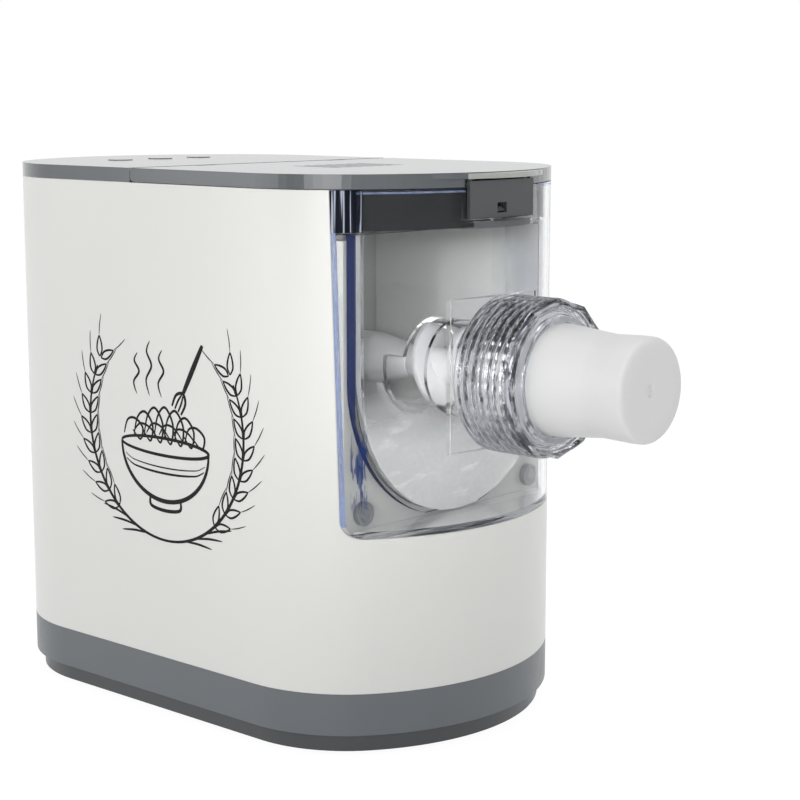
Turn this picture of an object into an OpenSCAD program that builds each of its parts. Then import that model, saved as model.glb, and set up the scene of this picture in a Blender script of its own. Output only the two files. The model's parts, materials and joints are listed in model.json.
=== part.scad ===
// Electric pasta maker: mixing tub and screw press in front, motor and gear train behind.
// Millimetres. X is the width, the nozzle points along -Y, Z is up, and z = 0 is the table.

/* [Body] */
// Width of the housing
body_w = 196.4; // [190:0.1:240]
// Length of the housing, front to back
body_l = 315; // [300:1:390]
// Height over the closed lid
body_h = 290; // [280:1:350]
// Radius of the housing's four corners, seen from above
corner_r = 70; // [50:1:78]
// Half the angle that the bowed front and back sweep, seen from above
bow_angle = 37.8; // [30:0.1:50]
// Wall of the housing and base
wall = 3; // [2:0.1:3.6]

/* [Base] */
// Height of the recessed plinth
plinth_h = 10.3; // [9:0.1:14]
// How far the plinth is set back
plinth_inset = 4.4; // [3:0.1:8]
// Height of the base's upper edge
base_h = 32; // [26:1:40]
// Radius of a foot pad
foot_r = 9; // [6:0.5:12]

/* [Lid] */
// Height of the lid and rear cover rim
lid_h = 7.5; // [7:0.1:9]
// Place of the seam between lid and rear cover, behind the middle
lid_seam = 10.8; // [8:0.1:16]
// Depth of the dark skirt under the lid
skirt_h = 20.4; // [16:0.1:24]
// Distance of the skirt from the outside of the housing
skirt_inset = 7.2; // [6.6:0.1:9]
// Radius of the rounded rear edge of the lid, around the hinge
hinge_r = 3.2; // [3:0.1:3.6]

/* [Front cover] */
// How far the clear cover reaches back from the front
cover_depth = 35; // [30:0.5:42]
// How much further back the upper end of the cover's rear edge lies
cover_rake = 3.4; // [0:0.1:4]
// Height of the sill under the clear cover
sill_z = 111; // [100:1:118]
// Radius of the cover's two lower corners
cover_corner_r = 9; // [6:0.5:14]
// Wall of the clear cover
cover_t = 3; // [2:0.1:4]
// Width of the latch plate
latch_w = 49.8; // [36:0.1:60]
// Height of the latch plate
latch_h = 18.7; // [15:0.1:20]

/* [Mixing tub] */
// Outside radius of the tub's round floor
tub_r = 73; // [60:0.1:76]
// Wall of the tub
tub_t = 3; // [2:0.1:4]
// Gap between the paddle's blades and the tub
paddle_gap = 4; // [2:0.5:16]

/* [Press] */
// Height of the screw's axis over the table
axis_z = 189; // [180:1:200]
// Radius of the press barrel's bore
bore_r = 21.5; // [18:0.1:24]
// Wall of the press barrel
barrel_t = 3.5; // [2.5:0.1:4.5]
// Radius over the retaining nut's ribs
nut_r = 40; // [36:0.5:48]
// Length of the retaining nut
nut_l = 37.5; // [30:0.5:44]
// Radius of the nozzle cap where it leaves the nut
cap_root_r = 28; // [24:0.5:30]
// How far the nozzle cap stands out of the nut
cap_l = 54; // [40:1:70]
// Diameter of the drive shaft
shaft_d = 12; // [10:0.5:14]

/* [Gear train] */
// Gear module
gear_m = 1.5; // [1.25:0.05:1.5]
// Teeth of the output gear
output_teeth = 72; // [66:1:72]
// Teeth of the small idler gear
idler_small_teeth = 15; // [14:1:17]
// Teeth of the large idler gear
idler_large_teeth = 56; // [48:1:56]
// Teeth of the motor pinion
pinion_teeth = 12; // [12:1:15]
// Sideways place of the idler axle
idler_x = 36; // [30:1:38]
// Radius of the motor case
motor_r = 38; // [30:1:40]
// Length of the motor case
motor_l = 68; // [56:1:72]

/* [Controls] */
// Radius of a push button
button_r = 7; // [5:0.5:9]
// Distance between two buttons
button_pitch = 30; // [24:1:36]
// Travel of a button
button_travel = 0.8; // [0.4:0.1:1]
// How far the buttons stand over the cover
button_rise = 0.4; // [0.2:0.1:1.2]

/* [Hidden] */
$fn = 96;
eps = 0.01;

// clearances
fit = 0.3;            // between pieces that part or move
slip = 0.05;          // radial, shaft in bearing
play = 0.1;           // radial, fixed piece in its hole

// outline of the housing seen from above
half_w = body_w / 2;
half_l = body_l / 2;
corner_cx = half_w - corner_r;
end_r = corner_r + corner_cx / sin(bow_angle);
end_cy = half_l - end_r;
corner_cy = end_cy + (end_r - corner_r) * cos(bow_angle);

// levels
foot_gap = 1;                    // room between plinth and table
floor_z = 3;
rim_z = body_h - lid_h;          // top edge of the housing
lid_z = rim_z + fit;             // underside of the lid
skin = 2.6;                      // top skin of lid and rear cover
rim_t = 2.5;                     // wall of their rims
skirt_z = lid_z - skirt_h;       // lower edge of the skirt
tub_top = skirt_z - 1.6;
ledge_z = tub_top - 2.5 - fit;   // shelf that the tub's lip rests on

// places along the machine
front_y = -half_l;
window_y = front_y + cover_depth;          // edge of the housing at the clear cover
frame_t = 2.8;
frame_y = window_y + fit;                  // front face of the liner's frame
flange_t = 3;
flange_y = window_y - 0.5 - flange_t;      // front face of the tub's flange
flange_r = tub_r + 3.6;
bulk_t = 2.8;
bulk_y = flange_y - fit - bulk_t;          // front face of the cover's inner plate
liner_r = tub_r + 1;
liner_t = 2.5;
liner_back = -1.5;
back_t = 3;
tub_back = liner_back - 2.5;               // outside of the tub's back wall
hub_back = tub_back - tub_t - 2.5;
barrel_back = flange_y + 27.5;             // mouth of the barrel inside the tub
barrel_r = bore_r + barrel_t;
neck_front = front_y - 26.5;               // front end of the threaded neck
neck_t = 3;
thread_h = 3;
thread_pitch = 5;
nut_back = front_y - 0.8;
nut_front = nut_back - nut_l;
nut_wall = 3.5;
neck_r = nut_r - nut_wall - thread_h - 0.5;
neck_pad_w = 2 * (neck_r + 0.8);
neck_pad_h = 2 * (neck_r + 5.6);
neck_back = -end_cy - sqrt(end_r * end_r - neck_pad_w * neck_pad_w / 4) - 0.5;   // face of the pad
neck_pad_t = 3.6;
cap_flange_t = 5;
cap_flange_r = neck_r;
cap_end = nut_front - cap_l;

// lid
hinge_y = lid_seam - hinge_r;
hinge_z = body_h - hinge_r;
hinge_pin_r = 1.5;
knuckle_x = 50;
knuckle_w = 12;
shelf_r = 70;
shelf_out = 6.5;
shelf_t = 2.6;
shelf_z = body_h - 0.4 - shelf_t;
slot_n = 7;
slot_w = 3;
slot_l = 34;
slot_pitch = 8;
slots_y = -52;

// latch
latch_t = 2;
latch_front = front_y + 0.2;
latch_top = shelf_z - 1.1;
latch_bottom = latch_top - latch_h;
latch_pin_y = front_y + 4.3;
latch_pin_z = latch_top - 1.5;
latch_pin_r = 0.9;
latch_pin_l = latch_w / 2 - 1.4;           // half its length
latch_ear_x = latch_pin_l - 2;
latch_knuckle_x = latch_ear_x - 6.5;
latch_knuckle_r = 1.9;
latch_hole_w = 7.4;
latch_hole_h = 5;
latch_hole_z = latch_bottom + 2.4;
tongue_out = 5.5;
tongue_t = 3;
tongue_z = latch_bottom - 1.4 - tongue_t;
tongue_r = 50;

// locating pegs
peg_x = 66;
peg_z = 122;
peg_r = 6;

// gear train: layers along the shaft
case_y = liner_back + back_t + 2.5;        // front face of the gearbox
plate_t = 4;
output_y0 = case_y + 16;
output_y1 = output_y0 + 12;
idler_y0 = output_y1 + 4;
idler_y1 = idler_y0 + 10;
cover_y = case_y + 50;                     // seam between gearbox case and its cover
gap_r = 4.5;                               // room around the gears
idler_d = gear_m * (output_teeth + idler_small_teeth) / 2;
pinion_d = gear_m * (idler_large_teeth + pinion_teeth) / 2;
idler_z = axis_z - sqrt(idler_d * idler_d - idler_x * idler_x);
motor_z = idler_z - sqrt(pinion_d * pinion_d - idler_x * idler_x);
mesh_a = atan2(idler_z - axis_z, idler_x);           // from output axis to idler axis
mesh_b = atan2(motor_z - idler_z, -idler_x);         // from idler axis to motor axis
shaft_r = shaft_d / 2;
idler_r = 4;
bearing_r = 14;
bearing_w = 8;
bush_r = 8;
bush_w = 6;
square_w = shaft_d * 0.7;
square_back = hub_back + 0.5;
socket_l = 42;
hub_r = 13.5;
hub_front = hub_back - 66;
nose_front = hub_front - 24;
nose_r = 8;
paddle_r = tub_r - tub_t - paddle_gap;
blade_t = 5;
blade_turn = 84;
screw_core_r = 9;
screw_back = nose_front - 0.4;
screw_front = neck_front + 7;
tenon_w = 8;
tenon_l = 12;
flight_r = bore_r - 0.5;
seal_r = shaft_r + 4;

// motor
motor_y0 = cover_y + plate_t;
motor_y1 = motor_y0 + motor_l;
can_t = 2.5;
motor_shaft_r = 4;
motor_bearing_r = 9;
rotor_r = motor_r - 15;
fan_y0 = motor_y1 + 3.5;
fan_w = 7;
fan_r = motor_r - 5;
fan_blades = 7;
cradle_z = base_h - 6;

// rear panel
panel_y = half_l - 10.5;
panel_w = 80;
panel_z0 = base_h + 4;
panel_z1 = panel_z0 + 26;
panel_mid = (panel_z0 + panel_z1) / 2;
inlet_x = -18;
inlet_w = 27;
inlet_h = 19.5;
inlet_depth = 16;
inlet_wall = 1.6;
rocker_x = 20;
rocker_w = 12.4;
rocker_r = 9;
rocker_tilt = 10;
bezel_w = 16.5;
bezel_h = 22.5;

// controls
button_y = 100;
board_z = rim_z - 15;
board_t = 1.6;
tact_h = 4.3;
power_board_x = -70;
power_board_y = 85;
power_board_z = base_h - 14;
stem_z = board_z + board_t + tact_h + button_travel + 0.15;

// screws
boss_x = half_w - plinth_inset - 7;
boss_y = corner_cy - 18;
boss_r = 5;
screw_r = 1.6;

// ---------- helpers ----------

// Direction of an angle, as a point on the unit circle
function dir(a) = [cos(a), sin(a)];

// Slice of a disc around c, between two angles less than half a turn apart
module sector(c, r, a0, a1) {
    intersection() {
        translate(c) circle(r);
        polygon([c, c + 2 * r * dir(a0), c + 3 * r * dir((a0 + a1) / 2), c + 2 * r * dir(a1)]);
    }
}

// Outline of the housing from above, drawn in by inset
module outline(inset = 0) {
    rc = corner_r - inset;
    re = end_r - inset;
    a = 90 - bow_angle;
    px = corner_cx + rc * cos(a);
    py = corner_cy + rc * sin(a);
    polygon([[half_w - inset, corner_cy], [px, py], [-px, py], [inset - half_w, corner_cy],
        [inset - half_w, -corner_cy], [-px, -py], [px, -py], [half_w - inset, -corner_cy]]);
    for (s = [-1, 1]) {
        sector([0, s * end_cy], re, s * 90 - bow_angle, s * 90 + bow_angle);
        sector([corner_cx, s * corner_cy], rc, s > 0 ? 0 : -a, s > 0 ? a : 0);
        sector([-corner_cx, s * corner_cy], rc, s > 0 ? 180 - a : 180, s > 0 ? 180 : 180 + a);
    }
}

// Upright solid on the outline between two heights
module block(z0, z1, inset = 0) {
    translate([0, 0, z0]) linear_extrude(z1 - z0) outline(inset);
}

// Upright ring that follows the outline
module ring(z0, z1, outer, inner) {
    translate([0, 0, z0]) linear_extrude(z1 - z0) difference() {
        outline(outer);
        outline(inner);
    }
}

// Box between two corners
module span(a, b) {
    translate(a) cube(b - a);
}

// Profile drawn in X and Z, carried along Y from y0 to y1
module along_y(y0, y1) {
    translate([0, y1, 0]) rotate([90, 0, 0]) linear_extrude(y1 - y0) children();
}

// Profile drawn in Y and Z, carried along X from x0 to x1
module along_x(x0, x1) {
    translate([x0, 0, 0]) rotate([90, 0, 90]) linear_extrude(x1 - x0) children();
}

// Round bar along Y
module rod(r, y0, y1, x = 0, z = axis_z) {
    translate([x, y1, z]) rotate([90, 0, 0]) cylinder(r = r, h = y1 - y0);
}

// Round bar along X
module bar(r, x0, x1, y, z) {
    translate([x0, y, z]) rotate([0, 90, 0]) cylinder(r = r, h = x1 - x0);
}

// Tube along Y
module tube(r_out, r_in, y0, y1, x = 0, z = axis_z) {
    along_y(y0, y1) translate([x, z]) difference() {
        circle(r_out);
        circle(r_in);
    }
}

// Turned piece on the press axis: the profile's x is the radius, its y the way forward of y0
module turned(y0) {
    translate([0, y0, axis_z]) rotate([90, 0, 0]) rotate_extrude() children();
}

// Region of the clear cover: everything in front of the window edge, over the sill
module window(gap = 0) {
    r = cover_corner_r;
    y = window_y - gap;
    z = sill_z + gap;
    far = front_y - 40;
    along_x(-half_w - 20, half_w + 20) union() {
        polygon([[y, z + r], [y + cover_rake, rim_z], [y + cover_rake, body_h + 20],
            [far, body_h + 20], [far, z], [y - r, z], [y - r, z + r]]);
        sector([y - r, z + r], r, -90, 0);
    }
}

// Cross-section of a trough round the press axis with upright sides
module trough(r, top) {
    sector([0, axis_z], r, -180, -90);
    sector([0, axis_z], r, -90, 0);
    translate([-r, axis_z]) square([2 * r, top - axis_z]);
}

// Gear with straight-flanked teeth, the first one at angle turn
module gear(teeth, y0, y1, x, z, turn) {
    rp = gear_m * teeth / 2;
    tip = rp + 0.8 * gear_m;
    root = rp - 1.2 * gear_m;
    step = 360 / teeth;
    along_y(y0, y1) translate([x, z]) rotate(turn)
        polygon([for (i = [0 : teeth - 1]) for (p = [[root, -0.30], [tip, -0.12], [tip, 0.12],
            [root, 0.30]]) p[0] * dir((i + p[1]) * step)]);
}

// Outline of the room for the gears, in X and Z
module gear_room(grow) {
    r_out = gear_m * (output_teeth / 2 + 1) + gap_r + grow;
    r_idler = gear_m * (idler_large_teeth / 2 + 1) + gap_r + grow;
    r_motor = motor_bearing_r + gap_r + 2 + grow;
    translate([0, axis_z]) circle(r_out);
    translate([idler_x, idler_z]) circle(r_idler);
    translate([0, motor_z]) circle(r_motor);
    translate([-r_motor, motor_z]) square([2 * r_motor, axis_z - motor_z]);
}

// ---------- base ----------

module base_tray() {
    color("slategray") difference() {
        union() {
            block(foot_gap, plinth_h + eps, plinth_inset);
            block(plinth_h, base_h);
        }
        block(0, floor_z, plinth_inset + wall);
        difference() {
            union() {
                block(floor_z + wall, plinth_h + wall + eps, plinth_inset + wall);
                block(plinth_h + wall, base_h + 1, wall);
            }
            boss_columns(0, base_h);
            at_cradle() cylinder(r = 5, h = cradle_z);
            at_power_board() cylinder(r = 2.5, h = power_board_z);
        }
        at_bosses() {
            translate([0, 0, -1]) cylinder(r = 4, h = 9);
            cylinder(r = screw_r + 0.2, h = base_h + 1);
        }
        at_feet() translate([0, 0, -1]) cylinder(r = 2.5, h = floor_z + wall + 2);
        base_vents();
    }
}

// The four housing screws
module at_bosses() {
    for (x = [-1, 1], y = [-1, 1]) translate([x * boss_x, y * boss_y, 0]) children();
}

// The four foot pads
module at_feet() {
    for (x = [-1, 1], y = [-1, 1]) translate([x * 62, y * 98, 0]) children();
}

// Slots in the floor under the motor
module base_vents() {
    for (i = [-4 : 4]) {
        span([i * 9 - 2, motor_y0, floor_z - 1], [i * 9 + 2, motor_y0 + 44, floor_z + wall + 1]);
    }
}

// Screw columns joined to the side walls
module boss_columns(z0, z1) {
    at_bosses() translate([0, 0, z0]) cylinder(r = boss_r, h = z1 - z0);
    for (x = [-1, 1], y = [-1, 1]) translate([x * (boss_x + half_w) / 2, y * boss_y, (z0 + z1) / 2])
        cube([half_w - boss_x, 5, z1 - z0], center = true);
}

// Places of the motor cradle's posts
module at_cradle() {
    for (x = [-1, 1], y = [motor_y0 + 8, motor_y1 - 8]) translate([x * 50, y, 0]) children();
}

// Places of the power board's posts
module at_power_board() {
    for (x = [-1, 1], y = [-1, 1]) {
        translate([power_board_x + x * 5, power_board_y + y * 24, 0]) children();
    }
}

module foot_pads() {
    color("dimgray") at_feet() {
        cylinder(r = foot_r, h = floor_z);
        cylinder(r = 2.5 - play, h = floor_z + wall + 1.5);
    }
}

module base_screws() {
    color("silver") at_bosses() {
        translate([0, 0, 5.5]) cylinder(r = 3.4, h = 2.5);
        translate([0, 0, 7]) cylinder(r = screw_r, h = base_h + 10);
    }
}

// ---------- housing ----------

module housing_shell() {
    color("white") difference() {
        union() {
            ring(base_h, rim_z, 0, wall);
            // sill under the clear cover
            intersection() {
                block(sill_z - wall, sill_z, eps);
                span([-half_w, front_y - 1, 0], [half_w, window_y + 3, body_h]);
            }
            // screw bosses along the lower edge
            intersection() {
                boss_columns(base_h, base_h + 24);
                block(base_h, body_h, eps);
            }
            // flat panel for the mains inlet and switch
            intersection() {
                span([-panel_w / 2 - 3, panel_y - 14, panel_z0 - 3],
                    [panel_w / 2 + 3, half_l, panel_z1 + 3]);
                block(panel_z0 - 3, panel_z1 + 3, eps);
            }
        }
        window();
        at_bosses() translate([0, 0, base_h - 1]) cylinder(r = screw_r + slip, h = 22);
        // recess in front of the panel, and the room behind it
        span([-panel_w / 2, panel_y, panel_z0], [panel_w / 2, half_l + 1, panel_z1]);
        span([-panel_w / 2, panel_y - 15, panel_z0], [panel_w / 2, panel_y - wall, panel_z1]);
        span([inlet_x - inlet_w / 2 - play, panel_y - 20, panel_mid - inlet_h / 2 - play],
            [inlet_x + inlet_w / 2 + play, panel_y + 1, panel_mid + inlet_h / 2 + play]);
        span([rocker_x - 7 - play, panel_y - 20, panel_mid - 10 - play],
            [rocker_x + 7 + play, panel_y + 1, panel_mid + 10 + play]);
        // air slots behind the motor fan
        for (i = [-4 : 4]) {
            span([i * 8 - 1.6, half_l - 20, panel_z1 + 14], [i * 8 + 1.6, half_l + 1, panel_z1 + 56]);
        }
    }
}

module chamber_liner() {
    color("gainsboro") difference() {
        union() {
            // trough that the tub sits in
            along_y(frame_y, liner_back + back_t) trough(liner_r + liner_t, ledge_z);
            // frame behind the clear cover
            intersection() {
                block(sill_z, ledge_z, wall + 0.2);
                span([-half_w, frame_y, sill_z], [half_w, frame_y + frame_t, ledge_z]);
            }
            // shelf round the tub's lip
            intersection() {
                block(ledge_z - 2.5, ledge_z, wall + 0.2);
                span([-half_w, frame_y, 0], [half_w, liner_back + back_t, body_h]);
            }
            // wall behind the tub, up to the hinge
            intersection() {
                block(ledge_z - 30, rim_z, wall + 0.2);
                span([-half_w, liner_back, 0], [half_w, liner_back + back_t, rim_z]);
            }
            rod(bearing_r + 6, liner_back, case_y);
        }
        along_y(frame_y - 1, liner_back) trough(liner_r, body_h);
        rod(seal_r + 1, liner_back - 1, case_y + 1);
        for (s = [-1, 1]) rod(peg_r - 1.5, frame_y - 1, frame_y + 9, s * peg_x, peg_z);
    }
}

module rear_cover() {
    edge = lid_seam + fit;
    color("slategray") difference() {
        union() {
            difference() {
                behind(edge) block(rim_z, body_h);
                behind(edge + rim_t) block(rim_z - 1, body_h - skin, rim_t);
            }
            // locating rim inside the housing
            behind(edge + 2) ring(rim_z - 4, rim_z + eps, wall + 0.3, wall + 2.3);
            // posts for the control board
            for (x = [-1, 1], y = [-1, 1]) {
                translate([x * 52, button_y + y * 20, board_z + board_t])
                    cylinder(r = 3.2, h = body_h - board_z - board_t - 1);
            }
            // ears that hold the hinge pins
            for (s = [-1, 1]) {
                hinge_ear(s * knuckle_x - knuckle_w / 2, s * knuckle_x + knuckle_w / 2);
            }
        }
        for (s = [-1 : 1]) {
            translate([s * button_pitch, button_y, body_h - 5])
                cylinder(r = button_r + fit, h = 10);
        }
        bar(hinge_pin_r + slip, -knuckle_x - knuckle_w - 8, -knuckle_x + knuckle_w + 8,
            hinge_y, hinge_z);
        bar(hinge_pin_r + slip, knuckle_x - knuckle_w - 8, knuckle_x + knuckle_w + 8,
            hinge_y, hinge_z);
        // sloped upper edge that the opened lid clears
        along_x(-half_w - 5, half_w + 5) polygon([[edge - 1, body_h - 2.2], [edge, body_h - 1.6],
            [edge + 1.6, body_h], [edge + 1.6, body_h + 1], [edge - 1, body_h + 1]]);
    }
}

// Part of the children that lies behind y
module behind(y) {
    intersection() {
        children();
        span([-half_w - 1, y, -1], [half_w + 1, half_l + 10, body_h + 1]);
    }
}

// Ear round a hinge pin, from x0 to x1, reaching forward from the rear cover
module hinge_ear(x0, x1) {
    bar(hinge_r - 0.1, x0, x1, hinge_y, hinge_z);
    span([x0, hinge_y, hinge_z - hinge_r + 0.1], [x1, lid_seam + 3, hinge_z + hinge_r - 0.8]);
}

module hinge_pins() {
    color("silver") for (s = [-1, 1]) {
        bar(hinge_pin_r, s * knuckle_x - knuckle_w, s * knuckle_x + knuckle_w, hinge_y, hinge_z);
    }
}

// ---------- clear parts ----------

module mixing_tub() {
    color("lightcyan", 0.4) difference() {
        union() {
            along_y(flange_y, tub_back) trough(tub_r, tub_top);
            // round flange against the cover's inner plate
            intersection() {
                block(sill_z + 4.4, tub_top, cover_t + 0.5);
                along_y(flange_y, flange_y + flange_t) trough(flange_r, tub_top);
            }
            // lip over the liner's shelf
            span([-tub_r - 10, flange_y, tub_top - 2.5], [tub_r + 10, tub_back, tub_top]);
        }
        along_y(flange_y - 1, tub_back - tub_t) trough(tub_r - tub_t, body_h);
        rod(seal_r + play, tub_back - 10, tub_back + 5);
        // the lip stays inside the housing's rounded front
        difference() {
            span([-half_w, flange_y - 1, tub_top - 4], [half_w, window_y + 20, tub_top + 1]);
            block(0, body_h, cover_t + 0.5);
        }
    }
}

module front_cover() {
    color("lightcyan", 0.4) difference() {
        union() {
            difference() {
                intersection() {
                    block(sill_z + fit, lid_z - 0.5);
                    window(fit);
                }
                block(sill_z + fit + cover_t, body_h, cover_t);
            }
            // inner plate that closes the front of the tub, joined to the cover's two sides
            intersection() {
                along_y(bulk_y, bulk_y + bulk_t) trough(liner_r, tub_top);
                block(sill_z + fit + 1, tub_top, cover_t - 0.2);
            }
            tongue();
            // web that carries the latch tooth
            span([-4.2, front_y + 2.6, latch_bottom - 5],
                [4.2, front_y + 4.8, latch_hole_z + latch_hole_h + 1.5]);
            // flat pad behind the nut, filled up to the cover's round front
            span([-neck_pad_w / 2, neck_back, axis_z - neck_pad_h / 2],
                [neck_pad_w / 2, neck_back + neck_pad_t, axis_z + neck_pad_h / 2]);
            intersection() {
                block(sill_z + fit, lid_z - 0.5, eps);
                span([-neck_pad_w / 2, front_y, axis_z - neck_pad_h / 2],
                    [neck_pad_w / 2, neck_back + 1, axis_z + neck_pad_h / 2]);
            }
        }
        // seats of the barrel and its neck
        rod(barrel_r + play, front_y - 1, bulk_y + bulk_t + 1);
        rod(neck_r + play, front_y - 1, neck_back + eps);
        // notch for the latch plate
        difference() {
            span([-latch_w / 2 - 0.5, front_y - 10, latch_bottom - 0.5],
                [latch_w / 2 + 0.5, window_y, body_h]);
            span([-4.2, front_y + 2.6, 0], [4.2, front_y + 4.8, latch_hole_z + latch_hole_h + 1.5]);
        }
    }
    // tooth that the latch plate snaps over
    color("lightcyan", 0.4) along_x(-2.6, 2.6) polygon([
        [front_y + 2.65, latch_hole_z + 0.6], [front_y + 0.7, latch_hole_z + 0.6],
        [front_y + 2.65, latch_hole_z + latch_hole_h - 0.6]]);
}

// Barrel of the press and, round its front end, the neck with the thread for the nut
module press_barrel() {
    color("lightcyan", 0.4) difference() {
        union() {
            rod(barrel_r, neck_front, barrel_back);
            turned(neck_back) union() {
                square([neck_r, neck_back - neck_front]);
                for (i = [0 : 3]) {
                    translate([neck_r - 0.5, 8.4 + i * thread_pitch]) polygon([[0, -1.4],
                        [thread_h, -0.5], [thread_h, 0.5], [0, 1.4]]);
                }
            }
        }
        rod(bore_r, neck_front - 1, barrel_back + 1);
        // room between the barrel and the neck
        tube(neck_r - neck_t, barrel_r, neck_front + neck_t, neck_back + 1);
        // open mouth of the barrel, towards the top
        span([-barrel_r - 1, barrel_back - 13, axis_z + 6],
            [barrel_r + 1, barrel_back + 1, axis_z + barrel_r + 1]);
    }
}

// Curved grip under the latch plate
module tongue() {
    translate([0, 0, tongue_z]) linear_extrude(tongue_t) difference() {
        translate([0, front_y - tongue_out + tongue_r]) circle(tongue_r);
        outline(1);
        translate([-60, front_y + 6]) square([120, 100]);
    }
}

module locating_pegs() {
    color("gray") for (s = [-1, 1]) {
        rod(peg_r, flange_y + 0.3, frame_y, s * peg_x, peg_z);
        rod(peg_r - 1.5 - play, frame_y - 1, frame_y + 8, s * peg_x, peg_z);
    }
}

// ---------- nozzle ----------

module nozzle_cap() {
    back = neck_front - 0.3;
    root = back - nut_front;
    end = back - cap_end;
    waist_r = cap_root_r - 2.7;
    lip_r = cap_root_r - 2.1;
    edge = 6;
    color("white") turned(back) difference() {
        union() {
            polygon([[0, 0], [cap_flange_r, 0], [cap_flange_r, cap_flange_t],
                [cap_root_r, cap_flange_t], [cap_root_r, root], [waist_r, end - 24],
                [lip_r, end - 9], [lip_r, end - edge], [lip_r - edge, end - edge],
                [lip_r - edge, end], [0, end]]);
            sector([lip_r - edge, end - edge], edge, 0, 90);
        }
        // hollow, and the shallow dish in the end
        square([cap_root_r - 6, end - 6]);
        translate([0, end + 118.6]) circle(120);
    }
}

module cap_seal() {
    color("dimgray") tube(barrel_r - 0.8, bore_r + 0.8, neck_front - 0.3, neck_front);
}

module retaining_nut() {
    valley = nut_r - 1.6;
    inner = neck_r + thread_h + 0.1;
    ribs = 7;
    pitch = (nut_l - 6) / ribs;
    lip = nut_back - (neck_front - 0.3 - cap_flange_t) + 0.3;
    color("lightcyan", 0.4) difference() {
        turned(nut_back) difference() {
            union() {
                square([valley, nut_l - 1]);
                for (i = [0 : ribs - 1]) {
                    translate([valley - 0.5, 2.6 + i * pitch]) polygon([[0, -1.5], [1.2, -1.2],
                        [2.1, -0.4], [2.1, 0.4], [1.2, 1.2], [0, 1.5]]);
                }
                translate([0, nut_l - 6]) polygon([[0, 0], [nut_r - 1, 0], [nut_r, 1],
                    [nut_r, 4.6], [nut_r - 1.4, 6], [0, 6]]);
            }
            translate([-1, -1]) square([inner + 1, lip + 1]);
            translate([-1, 0]) square([cap_root_r + 0.6 + 1, nut_l + 1]);
            // hollow ring in the front face
            translate([0, nut_l - 3.2]) polygon([[cap_root_r + 3.4, 3.4], [cap_root_r + 3.9, 0],
                [nut_r - 3.9, 0], [nut_r - 3, 3.4]]);
        }
        // finger scallops
        for (i = [0 : 11]) {
            translate([0, 0, axis_z]) rotate([0, i * 30, 0]) translate([nut_r + 1.6, 0, 0])
                rod(3, nut_front - 1, nut_front + 5, 0, 0);
        }
    }
}

// ---------- spindle ----------

module extrusion_screw() {
    length = screw_back - 10 - screw_front;
    color("white") {
        rod(screw_core_r, screw_front, screw_back);
        translate([0, screw_front, axis_z]) rotate([90, 0, 0]) cylinder(r1 = screw_core_r, r2 = 3, h = 6);
        along_y(screw_back - 1, screw_back + tenon_l) translate([0, axis_z])
            square(tenon_w, center = true);
        // one helical flight
        translate([0, screw_back - 4, axis_z]) rotate([90, 0, 0])
            linear_extrude(height = length, twist = -900, slices = 100, $fn = 10) flight();
    }
}

// Cross-section of the screw's flight: a broad tooth that reaches the barrel
module flight() {
    polygon(concat([[0, 0]], [for (a = [-26 : 6.5 : 26]) flight_r * dir(a)]));
}

module mixing_paddle() {
    color("white") difference() {
        union() {
            rod(hub_r, hub_front, hub_back);
            translate([0, hub_front, axis_z]) rotate([90, 0, 0])
                cylinder(r1 = hub_r, r2 = nose_r, h = hub_front - nose_front);
            blade(hub_back - 6, hub_front, blade_turn);
            blade(hub_back - 3, hub_back - 30, blade_turn + 180);
        }
        along_y(hub_back - socket_l, hub_back + 1) translate([0, axis_z])
            square(square_w + 0.3, center = true);
        along_y(nose_front - 1, nose_front + tenon_l + 0.6) translate([0, axis_z])
            square(tenon_w + 0.3, center = true);
    }
}

// Blade from back to front, curved like a scoop; turn is counted from straight up
module blade(back, front, turn) {
    arc_r = paddle_r * 0.73;
    translate([0, 0, axis_z]) rotate([0, turn, 0]) intersection() {
        union() {
            translate([0, 0, arc_r - 6]) tube(arc_r, arc_r - blade_t, front, back, 0, 0);
            span([-3, front, -2], [3, back, 12]);
        }
        rod(paddle_r, front, back, 0, 0);
        span([0, front - 1, -hub_r], [paddle_r + 1, back + 1, paddle_r]);
    }
}

module drive_shaft() {
    color("silver") {
        rod(shaft_r, square_back, cover_y + 2);
        along_y(hub_back - socket_l + 2, square_back) translate([0, axis_z])
            square(square_w, center = true);
    }
}

module shaft_seal() {
    color("dimgray") tube(seal_r, shaft_r + slip, tub_back - tub_t - 1, tub_back + 1.5);
}

// ---------- gear train ----------

module output_gear() {
    color("ivory") difference() {
        union() {
            gear(output_teeth, output_y0, output_y1, 0, axis_z, mesh_a);
            rod(13, output_y0 - 2, output_y1 + 2);
        }
        rod(shaft_r, output_y0 - 5, output_y1 + 5);
        // lightening holes
        for (i = [0 : 5]) {
            translate([0, 0, axis_z]) rotate([0, i * 60, 0])
                rod(9, output_y0 - 5, output_y1 + 5, 31, 0);
        }
    }
}

module idler_pinion() {
    color("silver") difference() {
        gear(idler_small_teeth, output_y0 - 1, output_y1 + 1, idler_x, idler_z,
            mesh_a + 180 + 180 / idler_small_teeth);
        rod(idler_r, output_y0 - 5, output_y1 + 5, idler_x, idler_z);
    }
}

module idler_wheel() {
    color("ivory") difference() {
        union() {
            gear(idler_large_teeth, idler_y0, idler_y1, idler_x, idler_z, mesh_b);
            rod(9, output_y1 + 1, idler_y0 + 1, idler_x, idler_z);
        }
        rod(idler_r, output_y0, idler_y1 + 5, idler_x, idler_z);
    }
}

module idler_axle() {
    color("silver") rod(idler_r, case_y + 2, cover_y + 2, idler_x, idler_z);
}

module motor_pinion() {
    color("goldenrod") difference() {
        gear(pinion_teeth, idler_y0 - 1, idler_y1 + 1, 0, motor_z,
            mesh_b + 180 + 180 / pinion_teeth);
        rod(motor_shaft_r, idler_y0 - 5, idler_y1 + 5, 0, motor_z);
    }
}

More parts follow.
